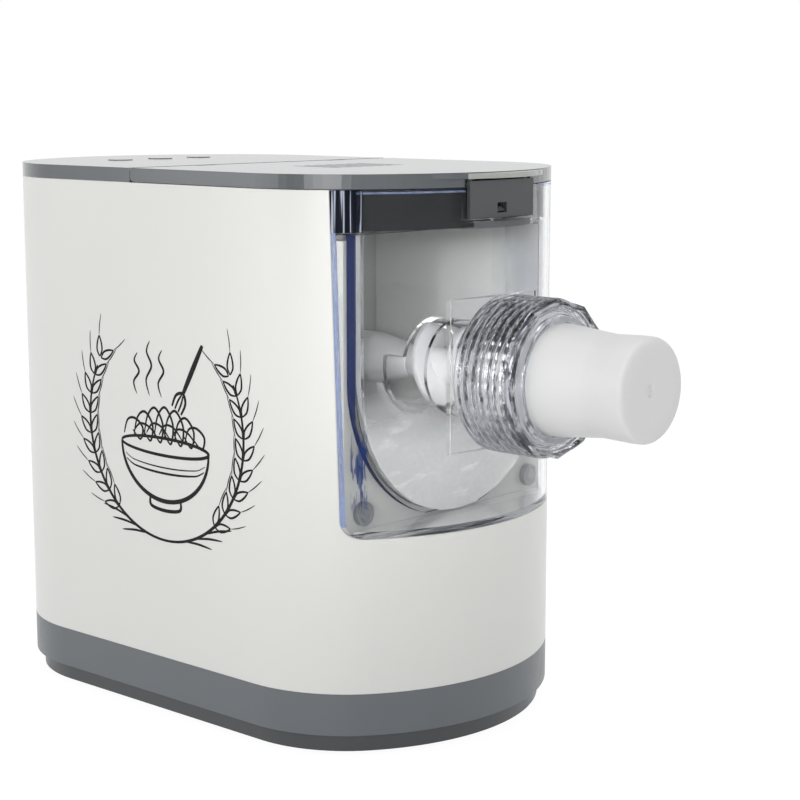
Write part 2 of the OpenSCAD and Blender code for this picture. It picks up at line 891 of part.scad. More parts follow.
module gearbox_case() {
    color("silver") difference() {
        union() {
            along_y(case_y, cover_y) gear_room(wall);
            rod(bush_r + 3, case_y, case_y + bush_w + 1, idler_x, idler_z);
            case_ears(case_y + 38, cover_y);
        }
        difference() {
            along_y(case_y + plate_t, cover_y + 1) gear_room(0);
            rod(bearing_r + 3, case_y, case_y + bearing_w + 2);
            rod(bush_r + 3, case_y, case_y + bush_w + 2, idler_x, idler_z);
        }
        rod(shaft_r + 1, case_y - 1, case_y + 5);
        rod(bearing_r, case_y + 2, case_y + bearing_w + 3);
        rod(bush_r, case_y + 2, case_y + bush_w + 3, idler_x, idler_z);
        at_ears() rod(screw_r + slip, case_y + 40, cover_y + 1, 0, 0);
    }
}

module gearbox_cover() {
    color("silver") difference() {
        union() {
            along_y(cover_y, cover_y + plate_t) gear_room(wall);
            rod(bearing_r + 3, cover_y - 7, cover_y + plate_t);
            rod(bush_r + 3, cover_y - 5, cover_y + plate_t, idler_x, idler_z);
            case_ears(cover_y, cover_y + plate_t);
        }
        rod(bearing_r, cover_y - 8, cover_y + 1);
        rod(shaft_r + 1, cover_y, cover_y + 2.5);
        rod(bush_r, cover_y - 6, cover_y + 1, idler_x, idler_z);
        rod(idler_r + 1, cover_y, cover_y + 2.5, idler_x, idler_z);
        rod(motor_shaft_r + 2, cover_y - 1, cover_y + plate_t + 1, 0, motor_z);
        at_ears() rod(screw_r + 0.2, cover_y - 1, cover_y + plate_t + 1, 0, 0);
    }
}

// Places of the gearbox screws, round the output gear and the large idler
module at_ears() {
    r = gear_m * (output_teeth / 2 + 1) + gap_r + wall + 2;
    q = gear_m * (idler_large_teeth / 2 + 1) + gap_r + wall + 2;
    for (a = [20, 90, 160, 240]) translate([r * cos(a), 0, axis_z + r * sin(a)]) children();
    translate([idler_x + q * cos(-30), 0, idler_z + q * sin(-30)]) children();
}

module case_ears(y0, y1) {
    at_ears() rod(5, y0, y1, 0, 0);
}

module gearbox_screws() {
    color("silver") at_ears() {
        rod(screw_r, case_y + 42, cover_y + plate_t, 0, 0);
        rod(3.2, cover_y + plate_t, cover_y + plate_t + 2.4, 0, 0);
    }
}

module output_bearings() {
    color("silver") {
        tube(bearing_r - slip, shaft_r + slip, case_y + 2, case_y + 2 + bearing_w);
        tube(bearing_r - slip, shaft_r + slip, cover_y - 7, cover_y + 1);
    }
}

module idler_bushes() {
    color("peru") {
        tube(bush_r - slip, idler_r + slip, case_y + 2, case_y + 2 + bush_w, idler_x, idler_z);
        tube(bush_r - slip, idler_r + slip, cover_y - 5, cover_y + 1, idler_x, idler_z);
    }
}

// ---------- motor ----------

module motor_case() {
    color("gray") difference() {
        rod(motor_r, motor_y0, motor_y1, 0, motor_z);
        difference() {
            rod(motor_r - can_t, motor_y0 + 3, motor_y1 - 3, 0, motor_z);
            rod(motor_bearing_r + 2.5, motor_y0, motor_y0 + 9, 0, motor_z);
            rod(motor_bearing_r + 2.5, motor_y1 - 9, motor_y1, 0, motor_z);
        }
        rod(motor_bearing_r, motor_y0 + 2, motor_y0 + 10, 0, motor_z);
        rod(motor_bearing_r, motor_y1 - 10, motor_y1 - 2, 0, motor_z);
        rod(motor_shaft_r + 1, motor_y0 - 1, motor_y1 + 1, 0, motor_z);
        // air slots at both ends
        for (a = [0 : 45 : 315], y = [motor_y0 + 4, motor_y1 - 12]) {
            translate([0, 0, motor_z]) rotate([0, a, 0])
                span([motor_r - 6, y, -5], [motor_r + 2, y + 8, 5]);
        }
    }
}

module motor_magnets() {
    y0 = motor_y0 + 16;
    y1 = motor_y1 - 16;
    color("dimgray") difference() {
        tube(motor_r - can_t - slip, rotor_r + 1, y0, y1, 0, motor_z);
        span([-5, y0 - 1, motor_z - motor_r], [5, y1 + 1, motor_z + motor_r]);
    }
}

module motor_bearings() {
    color("silver") for (y = [motor_y0 + 2, motor_y1 - 9]) {
        tube(motor_bearing_r - slip, motor_shaft_r + slip, y, y + 7, 0, motor_z);
    }
}

module motor_rotor() {
    color("peru") {
        difference() {
            rod(rotor_r, motor_y0 + 18, motor_y1 - 18, 0, motor_z);
            rod(motor_shaft_r, motor_y0, motor_y1, 0, motor_z);
            // winding slots
            for (a = [0 : 30 : 330]) {
                translate([0, 0, motor_z]) rotate([0, a, 0])
                    span([rotor_r - 6, motor_y0, -1.2], [rotor_r + 1, motor_y1, 1.2]);
            }
        }
        tube(10, motor_shaft_r, motor_y1 - 17, motor_y1 - 11, 0, motor_z);
    }
}

module motor_shaft() {
    color("silver") rod(motor_shaft_r, idler_y0 - 2, fan_y0 + fan_w, 0, motor_z);
}

module cooling_fan() {
    color("black") difference() {
        union() {
            rod(9, fan_y0, fan_y0 + fan_w, 0, motor_z);
            for (i = [0 : fan_blades - 1]) {
                translate([0, fan_y0 + fan_w / 2, motor_z]) rotate([0, i * 360 / fan_blades, 0])
                    rotate([35, 0, 0]) span([6, -0.7, -4.6], [fan_r, 0.7, 4.6]);
            }
        }
        rod(motor_shaft_r, fan_y0 - 5, fan_y0 + fan_w + 5, 0, motor_z);
    }
}

module motor_cradle() {
    y0 = motor_y0 + 3;
    y1 = motor_y1 - 3;
    color("gray") difference() {
        union() {
            span([-56, y0, cradle_z], [56, y1, cradle_z + 4]);
            for (y = [y0 + 3, y1 - 9]) span([-30, y, cradle_z], [30, y + 6, motor_z - 14]);
        }
        rod(motor_r + play, motor_y0 - 1, motor_y1 + 1, 0, motor_z);
        at_cradle() cylinder(r = screw_r + slip, h = 100);
    }
}

// ---------- electrics ----------

module control_board() {
    color("darkgreen") difference() {
        span([-62, button_y - 27, board_z], [62, button_y + 27, board_z + board_t]);
        for (x = [-1, 1], y = [-1, 1]) {
            translate([x * 52, button_y + y * 20, board_z - 1]) cylinder(r = 1.5, h = 5);
        }
    }
}

module board_switches() {
    color("black") for (s = [-1 : 1]) translate([s * button_pitch, button_y, board_z + board_t]) {
        translate([-3, -3, 0]) cube([6, 6, tact_h - 0.8]);
        cylinder(r = 1.75, h = tact_h);
    }
}

// Push button number i, -1 to 1 from the left
module button(i) {
    translate([i * button_pitch, button_y, 0]) {
        translate([0, 0, body_h - skin - fit]) cylinder(r = button_r, h = skin + fit + button_rise);
        translate([0, 0, body_h - skin - fit - 1.8]) cylinder(r = button_r + 1.6, h = 1.8);
        translate([0, 0, stem_z]) cylinder(r = 2, h = body_h - skin - 1 - stem_z);
    }
}

module start_button() {
    color("gainsboro") button(0);
}

module mode_button() {
    color("dimgray") button(-1);
}

module portion_button() {
    color("dimgray") button(1);
}

module power_board() {
    top = power_board_z + board_t;
    color("darkgreen") translate([power_board_x, power_board_y, 0])
        span([-8, -28, power_board_z], [8, 28, top]);
    // smoothing capacitor and choke
    color("black") translate([power_board_x, power_board_y, 0]) {
        translate([0, -14, top]) cylinder(r = 6, h = 22);
        span([-6, 0, top], [6, 18, top + 14]);
    }
}

module power_inlet() {
    y0 = panel_y - inlet_depth;
    color("black") translate([inlet_x, 0, panel_mid]) difference() {
        union() {
            span([-inlet_w / 2, y0, -inlet_h / 2], [inlet_w / 2, panel_y + 0.5, inlet_h / 2]);
            span([-inlet_w / 2 - 2.4, panel_y, -inlet_h / 2 - 2.4],
                [inlet_w / 2 + 2.4, panel_y + 1.8, inlet_h / 2 + 2.4]);
        }
        // well for the plug, with two sloped corners
        along_y(y0 + 2.4, panel_y + 3) polygon([
            [-inlet_w / 2 + inlet_wall, -inlet_h / 2 + inlet_wall],
            [inlet_w / 2 - inlet_wall, -inlet_h / 2 + inlet_wall],
            [inlet_w / 2 - inlet_wall, inlet_h / 2 - inlet_wall - 5],
            [inlet_w / 2 - inlet_wall - 5, inlet_h / 2 - inlet_wall],
            [-inlet_w / 2 + inlet_wall + 5, inlet_h / 2 - inlet_wall],
            [-inlet_w / 2 + inlet_wall, inlet_h / 2 - inlet_wall - 5]]);
        for (p = pin_places()) rod_slot(p, y0 - 1, y0 + 4, slip);
    }
}

// Places of the three contact blades round the inlet's middle
function pin_places() = [[-7, -1.6], [0, 2.4], [7, -1.6]];

// Upright flat blade round place p, in X and Z
module rod_slot(p, y0, y1, grow) {
    span([p[0] - 1 - grow, y0, p[1] - 2 - grow], [p[0] + 1 + grow, y1, p[1] + 2 + grow]);
}

module inlet_pins() {
    y0 = panel_y - inlet_depth;
    color("silver") translate([inlet_x, 0, panel_mid]) {
        for (p = pin_places()) rod_slot(p, y0 - 6, y0 + 10, 0);
    }
}

module switch_bezel() {
    color("black") translate([rocker_x, 0, panel_mid]) difference() {
        union() {
            span([-7, panel_y - 15, -10], [7, panel_y + 0.5, 10]);
            span([-bezel_w / 2, panel_y, -bezel_h / 2], [bezel_w / 2, panel_y + 1.6, bezel_h / 2]);
        }
        span([-rocker_w / 2 - 0.2, panel_y - 13, -9.3], [rocker_w / 2 + 0.2, panel_y + 3, 9.3]);
        bar(1.2 + slip, -6.7, 6.7, panel_y - 3, 0);
    }
}

module power_rocker() {
    color("darkred") translate([rocker_x, panel_y - 3, panel_mid]) rotate([rocker_tilt, 0, 0]) {
        intersection() {
            bar(rocker_r, -rocker_w / 2, rocker_w / 2, 0, 0);
            along_x(-rocker_w / 2, rocker_w / 2) polygon([[-6, -5], [-6, 5], [4.6, 9.5], [5.6, 8],
                [3.6, 0], [5.6, -8], [4.6, -9.5]]);
        }
        bar(1.2, -rocker_w / 2 - 0.35, rocker_w / 2 + 0.35, 0, 0);
    }
}

module lid_switch() {
    y = liner_back + back_t;
    color("black") {
        span([28, y, rim_z - 24], [48, y + 6.5, rim_z - 10]);
        span([36, y + 1.5, rim_z - 10], [40, y + 5, rim_z - 7.5]);
    }
}

// ---------- lid ----------

module lid() {
    color("slategray") difference() {
        union() {
            difference() {
                lid_front(lid_seam) block(lid_z, body_h);
                lid_front(hinge_y - hinge_r) block(lid_z - 1, body_h - skin, rim_t);
            }
            // grip over the latch plate
            translate([0, 0, shelf_z]) linear_extrude(shelf_t) difference() {
                translate([0, front_y - shelf_out + shelf_r]) circle(shelf_r);
                outline(1.5);
                translate([-80, front_y + 12]) square([160, 120]);
            }
            // ears for the latch pin
            for (s = [-1, 1]) latch_ear(s * latch_ear_x);
        }
        // room for the rear cover's ears
        for (s = [-1, 1]) {
            span([s * knuckle_x - knuckle_w / 2 - fit, hinge_y - hinge_r - 0.6, lid_z - 1],
                [s * knuckle_x + knuckle_w / 2 + fit, lid_seam + 5, body_h + 1]);
        }
        for (s = [-1, 1]) {
            bar(hinge_pin_r + slip, s * knuckle_x - knuckle_w - 0.5, s * knuckle_x + knuckle_w + 0.5,
                hinge_y, hinge_z);
        }
        // notch behind the latch plate
        difference() {
            span([-latch_w / 2 - 0.5, front_y - 1, lid_z - 5],
                [latch_w / 2 + 0.5, latch_pin_y + 3, shelf_z]);
            for (s = [-1, 1]) latch_ear(s * latch_ear_x);
        }
        bar(latch_pin_r + slip, -latch_pin_l, latch_pin_l, latch_pin_y, latch_pin_z);
        water_slots(body_h - 5, body_h + 1);
    }
}

// Ear that carries the latch pin, in the middle of x
module latch_ear(x) {
    span([x - 1.5, latch_pin_y - 1.5, latch_pin_z - 2], [x + 1.5, latch_pin_y + 2.2, body_h - 1]);
}

// Part of the children in front of y; behind the hinge the edge is rounded about it
module lid_front(y) {
    intersection() {
        children();
        along_x(-half_w - 1, half_w + 1) union() {
            translate([front_y - 20, 0]) square([min(y, hinge_y) - front_y + 20, body_h + 1]);
            intersection() {
                translate([hinge_y, hinge_z]) circle(hinge_r);
                translate([hinge_y - 1, hinge_z - eps]) square([y - hinge_y + 1, hinge_r + 1]);
            }
            // the heel turns just over the housing's rim
            intersection() {
                translate([hinge_y, hinge_z]) circle(hinge_z - lid_z);
                translate([hinge_y - 1, lid_z - 1]) square([y - hinge_y + 1, hinge_z - lid_z + 1]);
            }
        }
    }
}

// Slots for pouring in water while the machine mixes
module water_slots(z0, z1) {
    for (i = [0 : slot_n - 1]) {
        x = (i - (slot_n - 1) / 2) * slot_pitch;
        translate([x, slots_y, z0]) linear_extrude(z1 - z0) {
            square([slot_w, slot_l - slot_w], center = true);
            for (s = [-1, 1]) translate([0, s * (slot_l - slot_w) / 2]) circle(slot_w / 2);
        }
    }
}

module lid_skirt() {
    back = hinge_y - 14;
    color("dimgray") difference() {
        union() {
            intersection() {
                ring(skirt_z, lid_z + 1, skirt_inset, skirt_inset + 2.2);
                span([-half_w, front_y, 0], [half_w, back, body_h]);
            }
            span([-half_w + skirt_inset + 1, back - 2.2, skirt_z],
                [half_w - skirt_inset - 1, back, lid_z + 1]);
            // plate that closes the lid from below
            intersection() {
                block(lid_z, lid_z + 2.2, 3);
                span([-half_w, front_y, 0], [half_w, hinge_y - hinge_r - 1, body_h]);
            }
            // posts up to the lid's skin
            for (x = [-1, 1], y = [-110, -30]) {
                translate([x * 55, y, lid_z + 1]) cylinder(r = 4, h = body_h - skin - lid_z - 1);
            }
        }
        span([-latch_w / 2 - 0.5, front_y - 1, lid_z - 3],
            [latch_w / 2 + 0.5, latch_pin_y + 3, body_h]);
        water_slots(lid_z - 1, lid_z + 4);
    }
}

module latch_pin() {
    color("silver") bar(latch_pin_r, -latch_pin_l, latch_pin_l, latch_pin_y, latch_pin_z);
}

module latch_plate() {
    color("dimgray") difference() {
        union() {
            span([-latch_w / 2, latch_front, latch_bottom],
                [latch_w / 2, latch_front + latch_t, latch_top]);
            for (s = [-1, 1]) {
                bar(latch_knuckle_r, s * latch_knuckle_x - 4, s * latch_knuckle_x + 4, latch_pin_y,
                    latch_pin_z);
                span([s * latch_knuckle_x - 4, latch_front + 1, latch_pin_z - 1.2],
                    [s * latch_knuckle_x + 4, latch_pin_y, latch_pin_z + 1.2]);
            }
        }
        bar(latch_pin_r + slip, -latch_w, latch_w, latch_pin_y, latch_pin_z);
        span([-latch_hole_w / 2, latch_front - 1, latch_hole_z],
            [latch_hole_w / 2, latch_front + 4, latch_hole_z + latch_hole_h]);
    }
}

base_tray();
foot_pads();
housing_shell();
chamber_liner();
rear_cover();
mixing_tub();
front_cover();
press_barrel();
nozzle_cap();
cap_seal();
locating_pegs();
shaft_seal();
gearbox_case();
gearbox_cover();
output_bearings();
idler_bushes();
motor_case();
motor_magnets();
motor_bearings();
motor_cradle();
control_board();
board_switches();
power_board();
power_inlet();
inlet_pins();
switch_bezel();
hinge_pins();
lid_switch();
base_screws();
gearbox_screws();
lid();
lid_skirt();
latch_pin();
latch_plate();
retaining_nut();
extrusion_screw();
mixing_paddle();
drive_shaft();
output_gear();
idler_wheel();
idler_pinion();
idler_axle();
motor_rotor();
motor_shaft();
motor_pinion();
cooling_fan();
start_button();
mode_button();
portion_button();
power_rocker();
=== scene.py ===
# Looks of the electric pasta maker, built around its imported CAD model.
# Places and lengths are millimetres here, apart from the studio's; Blender objects are in metres.
import json
import math
import bpy
import bmesh
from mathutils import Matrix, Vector


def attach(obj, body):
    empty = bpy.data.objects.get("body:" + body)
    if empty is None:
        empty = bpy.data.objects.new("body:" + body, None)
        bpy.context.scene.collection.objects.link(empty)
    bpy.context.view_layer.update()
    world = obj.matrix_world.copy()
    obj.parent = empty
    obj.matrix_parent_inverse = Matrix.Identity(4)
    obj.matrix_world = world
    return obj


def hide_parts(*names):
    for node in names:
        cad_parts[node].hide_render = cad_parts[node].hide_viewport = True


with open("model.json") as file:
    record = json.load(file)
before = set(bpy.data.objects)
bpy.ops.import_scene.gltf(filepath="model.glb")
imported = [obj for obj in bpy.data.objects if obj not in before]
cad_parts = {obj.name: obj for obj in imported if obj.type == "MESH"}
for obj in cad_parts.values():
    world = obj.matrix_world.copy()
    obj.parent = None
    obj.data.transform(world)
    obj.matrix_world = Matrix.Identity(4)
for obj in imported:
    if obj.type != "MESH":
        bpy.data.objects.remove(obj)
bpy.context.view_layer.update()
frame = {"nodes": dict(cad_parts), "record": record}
scene = bpy.context.scene
MM = 0.001
AXIS = 189.0                # height of the screw's axis


# ---------- node helpers ----------

class Nodes:
    """Short way to build one node tree"""

    def __init__(self, tree):
        self.tree = tree
        tree.nodes.clear()

    def add(self, kind, **values):
        """New node: set_NAME is a property, i0, i1, ... an input by number, any other an input by name"""
        n = self.tree.nodes.new(kind)
        for key, value in values.items():
            if key.startswith("set_"):
                setattr(n, key[4:], value)
            elif key[0] == "i" and key[1:].isdigit():
                self.wire(n.inputs[int(key[1:])], value)
            else:
                self.wire(n.inputs[key.replace("_", " ")], value)
        return n

    def wire(self, socket, value):
        if isinstance(value, bpy.types.NodeSocket):
            self.tree.links.new(value, socket)
        else:
            socket.default_value = (*value, 1) if socket.type == "RGBA" else value

    def math(self, operation, a, b=0.0, clamp=False):
        return self.add("ShaderNodeMath", set_operation=operation, set_use_clamp=clamp,
                        i0=a, i1=b).outputs[0]

    def product(self, value, *others):
        for other in others:
            value = self.math("MULTIPLY", value, other)
        return value

    def most(self, value, *others):
        for other in others:
            value = self.math("MAXIMUM", value, other)
        return value

    def size(self, value):
        return self.math("ABSOLUTE", value)

    # the next four give 1 where they hold and 0 elsewhere

    def over(self, value, limit):
        return self.math("GREATER_THAN", value, limit)

    def under(self, value, limit):
        return self.math("LESS_THAN", value, limit)

    def near(self, value, middle, reach):
        return self.under(self.size(self.math("SUBTRACT", value, middle)), reach)

    def facing(self, way, least):
        """Faces that look along an axis, either way: a back face has its normal turned round"""
        return self.over(self.size(way), least)

    def radius(self, u, v):
        return self.math("SQRT", self.math("ADD", self.product(u, u), self.product(v, v)))

    def noise(self, scale, detail=2.0, rough=0.5, stretch=None):
        """Noise in object coordinates, scale in features per metre; stretch multiplies it per axis"""
        v = self.add("ShaderNodeTexCoord").outputs["Object"]
        if stretch:
            v = self.add("ShaderNodeMapping", Vector=v, Scale=stretch).outputs[0]
        return self.add("ShaderNodeTexNoise", Vector=v, Scale=scale, Detail=detail,
                        Roughness=rough).outputs["Fac"]

    def remap(self, value, first, last, start=0.0, end=1.0):
        """first where the value is at start, last where it is at end, and evenly between"""
        return self.add("ShaderNodeMapRange", Value=value, i1=start, i2=end, i3=first, i4=last).outputs[0]

    def mix_colour(self, factor, a, b):
        return self.add("ShaderNodeMix", set_data_type="RGBA", i0=factor, i6=a, i7=b).outputs[2]

    def mix_shader(self, factor, a, b):
        return self.add("ShaderNodeMixShader", i0=factor, i1=a.outputs[0], i2=b.outputs[0])

    def soft_edges(self, radius):
        return self.add("ShaderNodeBevel", Radius=radius * MM, set_samples=4).outputs[0]

    def bump(self, strength, depth, height, normal):
        return self.add("ShaderNodeBump", Strength=strength, Distance=depth * MM, Height=height,
                        Normal=normal).outputs[0]


def material(name):
    m = bpy.data.materials.new(name)
    m.use_nodes = True
    return m, Nodes(m.node_tree)


def scaled(colour, k):
    return tuple(min(c * k, 1.0) for c in colour)


# ---------- shades and lines at a place on the part ----------
# Each function gives where they are, from 0 to 1, and their colour there.

FLAT = 0.9                  # a face looks squarely along an axis
UPRIGHT = 0.5               # less of a normal than this points up or down on an upright face
COVER_SIDE = 60.0           # the front cover's side walls lie further out than this
SKIRT_LOW = 262.0           # lower edge of the lid's skirt


def place(n):
    """Where a point is, in millimetres, and which way its face looks"""
    at = n.add("ShaderNodeVectorMath", set_operation="SCALE",
               i0=n.add("ShaderNodeTexCoord").outputs["Object"])
    at.inputs["Scale"].default_value = 1 / MM
    at = n.add("ShaderNodeSeparateXYZ", i0=at.outputs[0]).outputs
    normal = n.add("ShaderNodeNewGeometry").outputs["True Normal"]
    return at, n.add("ShaderNodeSeparateXYZ", i0=normal).outputs


def painted_plinth_shade(n):
    """Painted shade: the recessed plinth gathers less light, so its colour is darkened, fading out between
    the plinth's top and the base
    """
    plinth_top, base_low = 9.0, 10.6
    at, _ = place(n)
    return n.remap(at[2], 0.75, 0.0, plinth_top, base_low), (0.030, 0.033, 0.036)


def grey_frame_and_painted_back_shade(n):
    """The flat frame round the chamber's mouth is a darker grey than its sides; its back wall is greyed too,
    by a painted shade where less light reaches deep in the chamber
    """
    mouth_y, deep_y = -119.5, -30.0
    at, way = place(n)
    # the back wall's grey is painted shade
    back = n.product(n.over(at[1], deep_y), n.facing(way[1], 0.8))
    return n.most(n.under(at[1], mouth_y), n.product(back, 0.75)), (0.38, 0.39, 0.375)


def painted_lip_highlight(n):
    """Painted highlight: paler front edge of the lid, over the latch"""
    lip_y, top_z = -158.3, 289.8
    at, _ = place(n)
    return n.product(n.under(at[1], lip_y), n.under(at[2], top_z), 0.85), (0.36, 0.37, 0.34)


def tub_lines(n):
    """Navy line round the edge of the tub's flange and along its upper rim, and paler tub walls"""
    tub_r, flange_r, flange_y, rim_z = 73.0, 73.3, -122.9, 260.5
    wall_y, wall_r, half_wall = -125.6, 71.5, 1.7
    fade_from, fade_to = -118.0, -90.0
    at, way = place(n)
    r = n.radius(at[0], n.math("MINIMUM", n.math("SUBTRACT", at[2], AXIS), 0.0))
    flange = n.product(n.under(n.size(way[1]), 0.85), n.over(r, flange_r), n.under(at[1], flange_y))
    rim = n.product(n.facing(way[2], FLAT), n.over(at[2], rim_z))
    front = n.product(n.under(at[1], wall_y), n.near(r, wall_r, half_wall), 0.5)
    skin = n.product(n.near(r, tub_r, 0.3), n.remap(at[1], 1.0, 0.0, fade_from, fade_to), 0.85)
    navy = n.most(n.product(flange, 0.97), n.product(rim, 0.6))
    tone = n.mix_colour(n.over(navy, 0.0), (0.66, 0.68, 0.70), (0.001, 0.009, 0.06))
    return n.most(navy, front, skin), tone


def cover_edges(n, at, way):
    """Pale blue along the cover's rear edges, its top and, fainter, the crest of its front"""
    rear_y, top_z, crest_z, crest_y = -123.4, 282.0, 280.9, -120.0
    rear = n.product(n.facing(way[1], 0.8), n.over(at[1], rear_y), n.over(n.size(at[0]), COVER_SIDE),
                     n.under(at[2], SKIRT_LOW))
    top = n.product(n.facing(way[2], FLAT), n.over(at[2], top_z))
    crest = n.product(n.under(n.size(way[2]), UPRIGHT), n.near(at[2], crest_z, 0.5),
                      n.under(at[1], crest_y), 0.35)
    streak = n.noise(300, 3, 0.7, stretch=(1, 1, 0.12))
    return n.product(n.most(rear, top, crest), n.remap(streak, 0.3, 0.9, 0.35, 0.6))


def cover_strokes(n, at, way):
    """Navy strokes low in the thick corners of the cover"""
    corner_x, corner_y, half_depth, middle_z, full, ended = 70.0, -129.3, 2.6, 144.0, 10.0, 22.0
    off_middle = n.size(n.math("SUBTRACT", at[2], middle_z))
    strands = n.noise(760, stretch=(1, 1, 0.13))
    return n.product(n.facing(way[0], 0.5), n.over(n.size(at[0]), corner_x),
                     n.near(at[1], corner_y, half_depth), n.remap(off_middle, 1.0, 0.0, full, ended),
                     n.remap(strands, 0.0, 0.75, 0.46, 0.54))


def cover_painted_film(n, at, way):
    """Painted light: a pale whitish film on the lower half of the inner plate lightens the chamber seen
    behind it;
    also pale steps beside the neck
    """
    plate_y, half_plate, film_full, film_end = -127.7, 1.6, 152.0, 184.0
    step_x, step_y, step_z = 36.0, -149.0, 235.0
    patches = n.noise(9, 2, 0.4, stretch=(1, 1, 2.4))
    film = n.product(n.remap(at[2], 0.62, 0.0, film_full, film_end),
                     n.remap(patches, 0.8, 1.1, 0.35, 0.65), n.near(at[1], plate_y, half_plate),
                     n.facing(way[1], FLAT))
    step = n.product(n.facing(way[0], FLAT), n.under(n.size(at[0]), step_x), n.under(at[1], step_y),
                     n.under(at[2], step_z), 0.85)
    return n.most(step, film)


def cover_lines(n):
    """Blue edges and navy strokes of the front cover, a painted pale film with painted highlight streaks,
    a greyer grip under the latch, and a painted reflection: dark and pale upright streaks where its
    rear edge stands beside the lid's skirt"""
    grip_y, grip_z, bar_y = -157.7, 255.0, -129.0
    at, way = place(n)
    strokes, painted_film = cover_strokes(n, at, way), cover_painted_film(n, at, way)
    grip = n.product(n.under(at[1], grip_y), n.over(at[2], grip_z))
    # painted reflection: dark and pale upright streaks on the cover's rear edge beside the skirt
    painted_skirt_reflection = n.product(n.over(n.size(at[0]), COVER_SIDE), n.over(at[1], bar_y), n.over(at[2], SKIRT_LOW),
                    n.under(n.size(way[2]), UPRIGHT), 0.93)
    streaks = n.mix_colour(n.remap(n.noise(420, stretch=(1, 1, 0.02)), 0.0, 1.0, 0.56, 0.60),
                           (0.003, 0.005, 0.012), (0.42, 0.46, 0.56))
    # painted highlight streaks in the painted pale film
    painted_gleam = n.remap(n.noise(34, 3, 0.55, stretch=(1, 1, 3.2)), 0.0, 1.0, 0.56, 0.66)
    tone = n.mix_colour(n.over(strokes, 0.0), (0.36, 0.45, 0.74), (0.012, 0.035, 0.15))
    tone = n.mix_colour(n.over(painted_film, 0.0), tone, n.mix_colour(painted_gleam, (0.77, 0.78, 0.77), (1.0, 1.0, 1.0)))
    tone = n.mix_colour(grip, tone, (0.13, 0.14, 0.145))
    tone = n.mix_colour(n.over(painted_skirt_reflection, 0.0), tone, streaks)
    return n.most(cover_edges(n, at, way), strokes, painted_film, n.product(grip, 0.75), painted_skirt_reflection), tone


def painted_nut_reflections(n):
    """Painted reflection: short dark dashes between the nut's ribs, where the clear plastic would mirror a
    dark surround
    """
    valley_in, valley_out = 36.9, 39.3
    at, _ = place(n)
    r = n.radius(at[0], n.math("SUBTRACT", at[2], AXIS))
    dash = n.remap(n.noise(95, 3, 0.65, stretch=(1, 4, 1)), 0.0, 0.72, 0.50, 0.58)
    return n.product(n.over(r, valley_in), n.under(r, valley_out), dash), (0.030, 0.032, 0.042)


# ---------- materials ----------

def moulded(name, colour, rough, grain, edge, sheen=0.02, metallic=0.0, spread=0.05, edge_wear_and_highlight=0.25,
            coat_rough=0.18, gloss=0.5, streaks=None, blotch=1.0, accent=None):
    """Moulded plastic or die-cast metal: rounded edges, fine grain, faint flow shade, paler polished edges.
    The paler edges are partly wear and partly a painted edge highlight. edge is the radius of its edges,
    spread how much its shade varies, the edge paling how pale its edges get, streaks a stretch of the grain,
    blotch how much its gloss varies, accent a function from above"""
    m, n = material(name)
    flow = n.noise(14, 3, stretch=(1, 1, 0.35))
    speck = n.noise(60, 5, 0.7, stretch=streaks) if streaks else n.noise(2600)
    patch = n.noise(70, 4, 0.6)
    normal = n.soft_edges(edge)
    flat = n.add("ShaderNodeNewGeometry").outputs["Normal"]
    same = n.add("ShaderNodeVectorMath", set_operation="DOT_PRODUCT", i0=normal, i1=flat).outputs["Value"]
    # paler edges: partly wear, partly a painted edge highlight
    pale_edge_wear_and_highlight = n.product(n.remap(same, edge_wear_and_highlight, 0.0, 0.82, 0.995), n.remap(patch, 0.2, 1.0, 0.3, 0.7))
    base = n.mix_colour(n.remap(flow, 0, 1, 0.3, 0.7), scaled(colour, 1 - spread / 2),
                        scaled(colour, 1 + spread / 2))
    base = n.mix_colour(n.remap(speck, 0, 0.6, 0.35, 0.65), base, scaled(colour, 1 - spread))
    base = n.mix_colour(pale_edge_wear_and_highlight, base, scaled(colour, 1.35))
    if accent:
        where, tone = accent(n)
        base = n.mix_colour(where, base, tone)
    uneven = 0.12 * blotch
    roughness = n.remap(patch, rough * (1 - uneven), rough * (1 + uneven), 0.3, 0.7)
    roughness = n.math("SUBTRACT", roughness, n.product(pale_edge_wear_and_highlight, rough * 0.5))
    normal = n.bump(0.04, 0.4, flow, n.bump(grain, 0.04, speck, normal))
    p = n.add("ShaderNodeBsdfPrincipled", Base_Color=base, Roughness=roughness, Metallic=metallic,
              Normal=normal, Coat_Weight=sheen, Coat_Roughness=coat_rough, Specular_IOR_Level=gloss)
    n.add("ShaderNodeOutputMaterial", Surface=p.outputs[0])
    return m


def clear(name, ior, density, lines, edge=0.4, wavy=0.05, depth_colour=(0.12, 0.33, 0.72)):
    """Clear moulded plastic that lets the lamps through, tinted faintly through its depth.
    lines is a function from above: where the plastic's edges gather light, where painted reflections and
    films lie, and the colour there"""
    polish, shadow_tint = 0.015, (0.997, 0.998, 1.0)
    m, n = material(name)
    haze = n.noise(400, 4, 0.65)
    body = n.add("ShaderNodeBsdfPrincipled", Base_Color=(1, 1, 1), IOR=ior, Transmission_Weight=1.0,
                 Roughness=n.remap(haze, polish * 0.5, polish * 1.8, 0.35, 0.7),
                 Normal=n.bump(wavy, 0.5, n.noise(60), n.soft_edges(edge)))
    shadow = n.add("ShaderNodeLightPath").outputs["Is Shadow Ray"]
    surface = n.mix_shader(shadow, body, n.add("ShaderNodeBsdfTransparent", Color=shadow_tint))
    where, colour = lines(n)
    shade = n.mix_colour(n.remap(haze, 0, 0.12, 0.3, 0.7), colour, (0.0, 0.0, 0.0))
    line = n.add("ShaderNodeBsdfPrincipled", Base_Color=shade, Roughness=0.45, Specular_IOR_Level=0.05)
    surface = n.mix_shader(where, surface, line)
    depth = n.add("ShaderNodeVolumeAbsorption", Color=depth_colour, Density=density)
    n.add("ShaderNodeOutputMaterial", Surface=surface.outputs[0], Volume=depth.outputs[0])
    return m


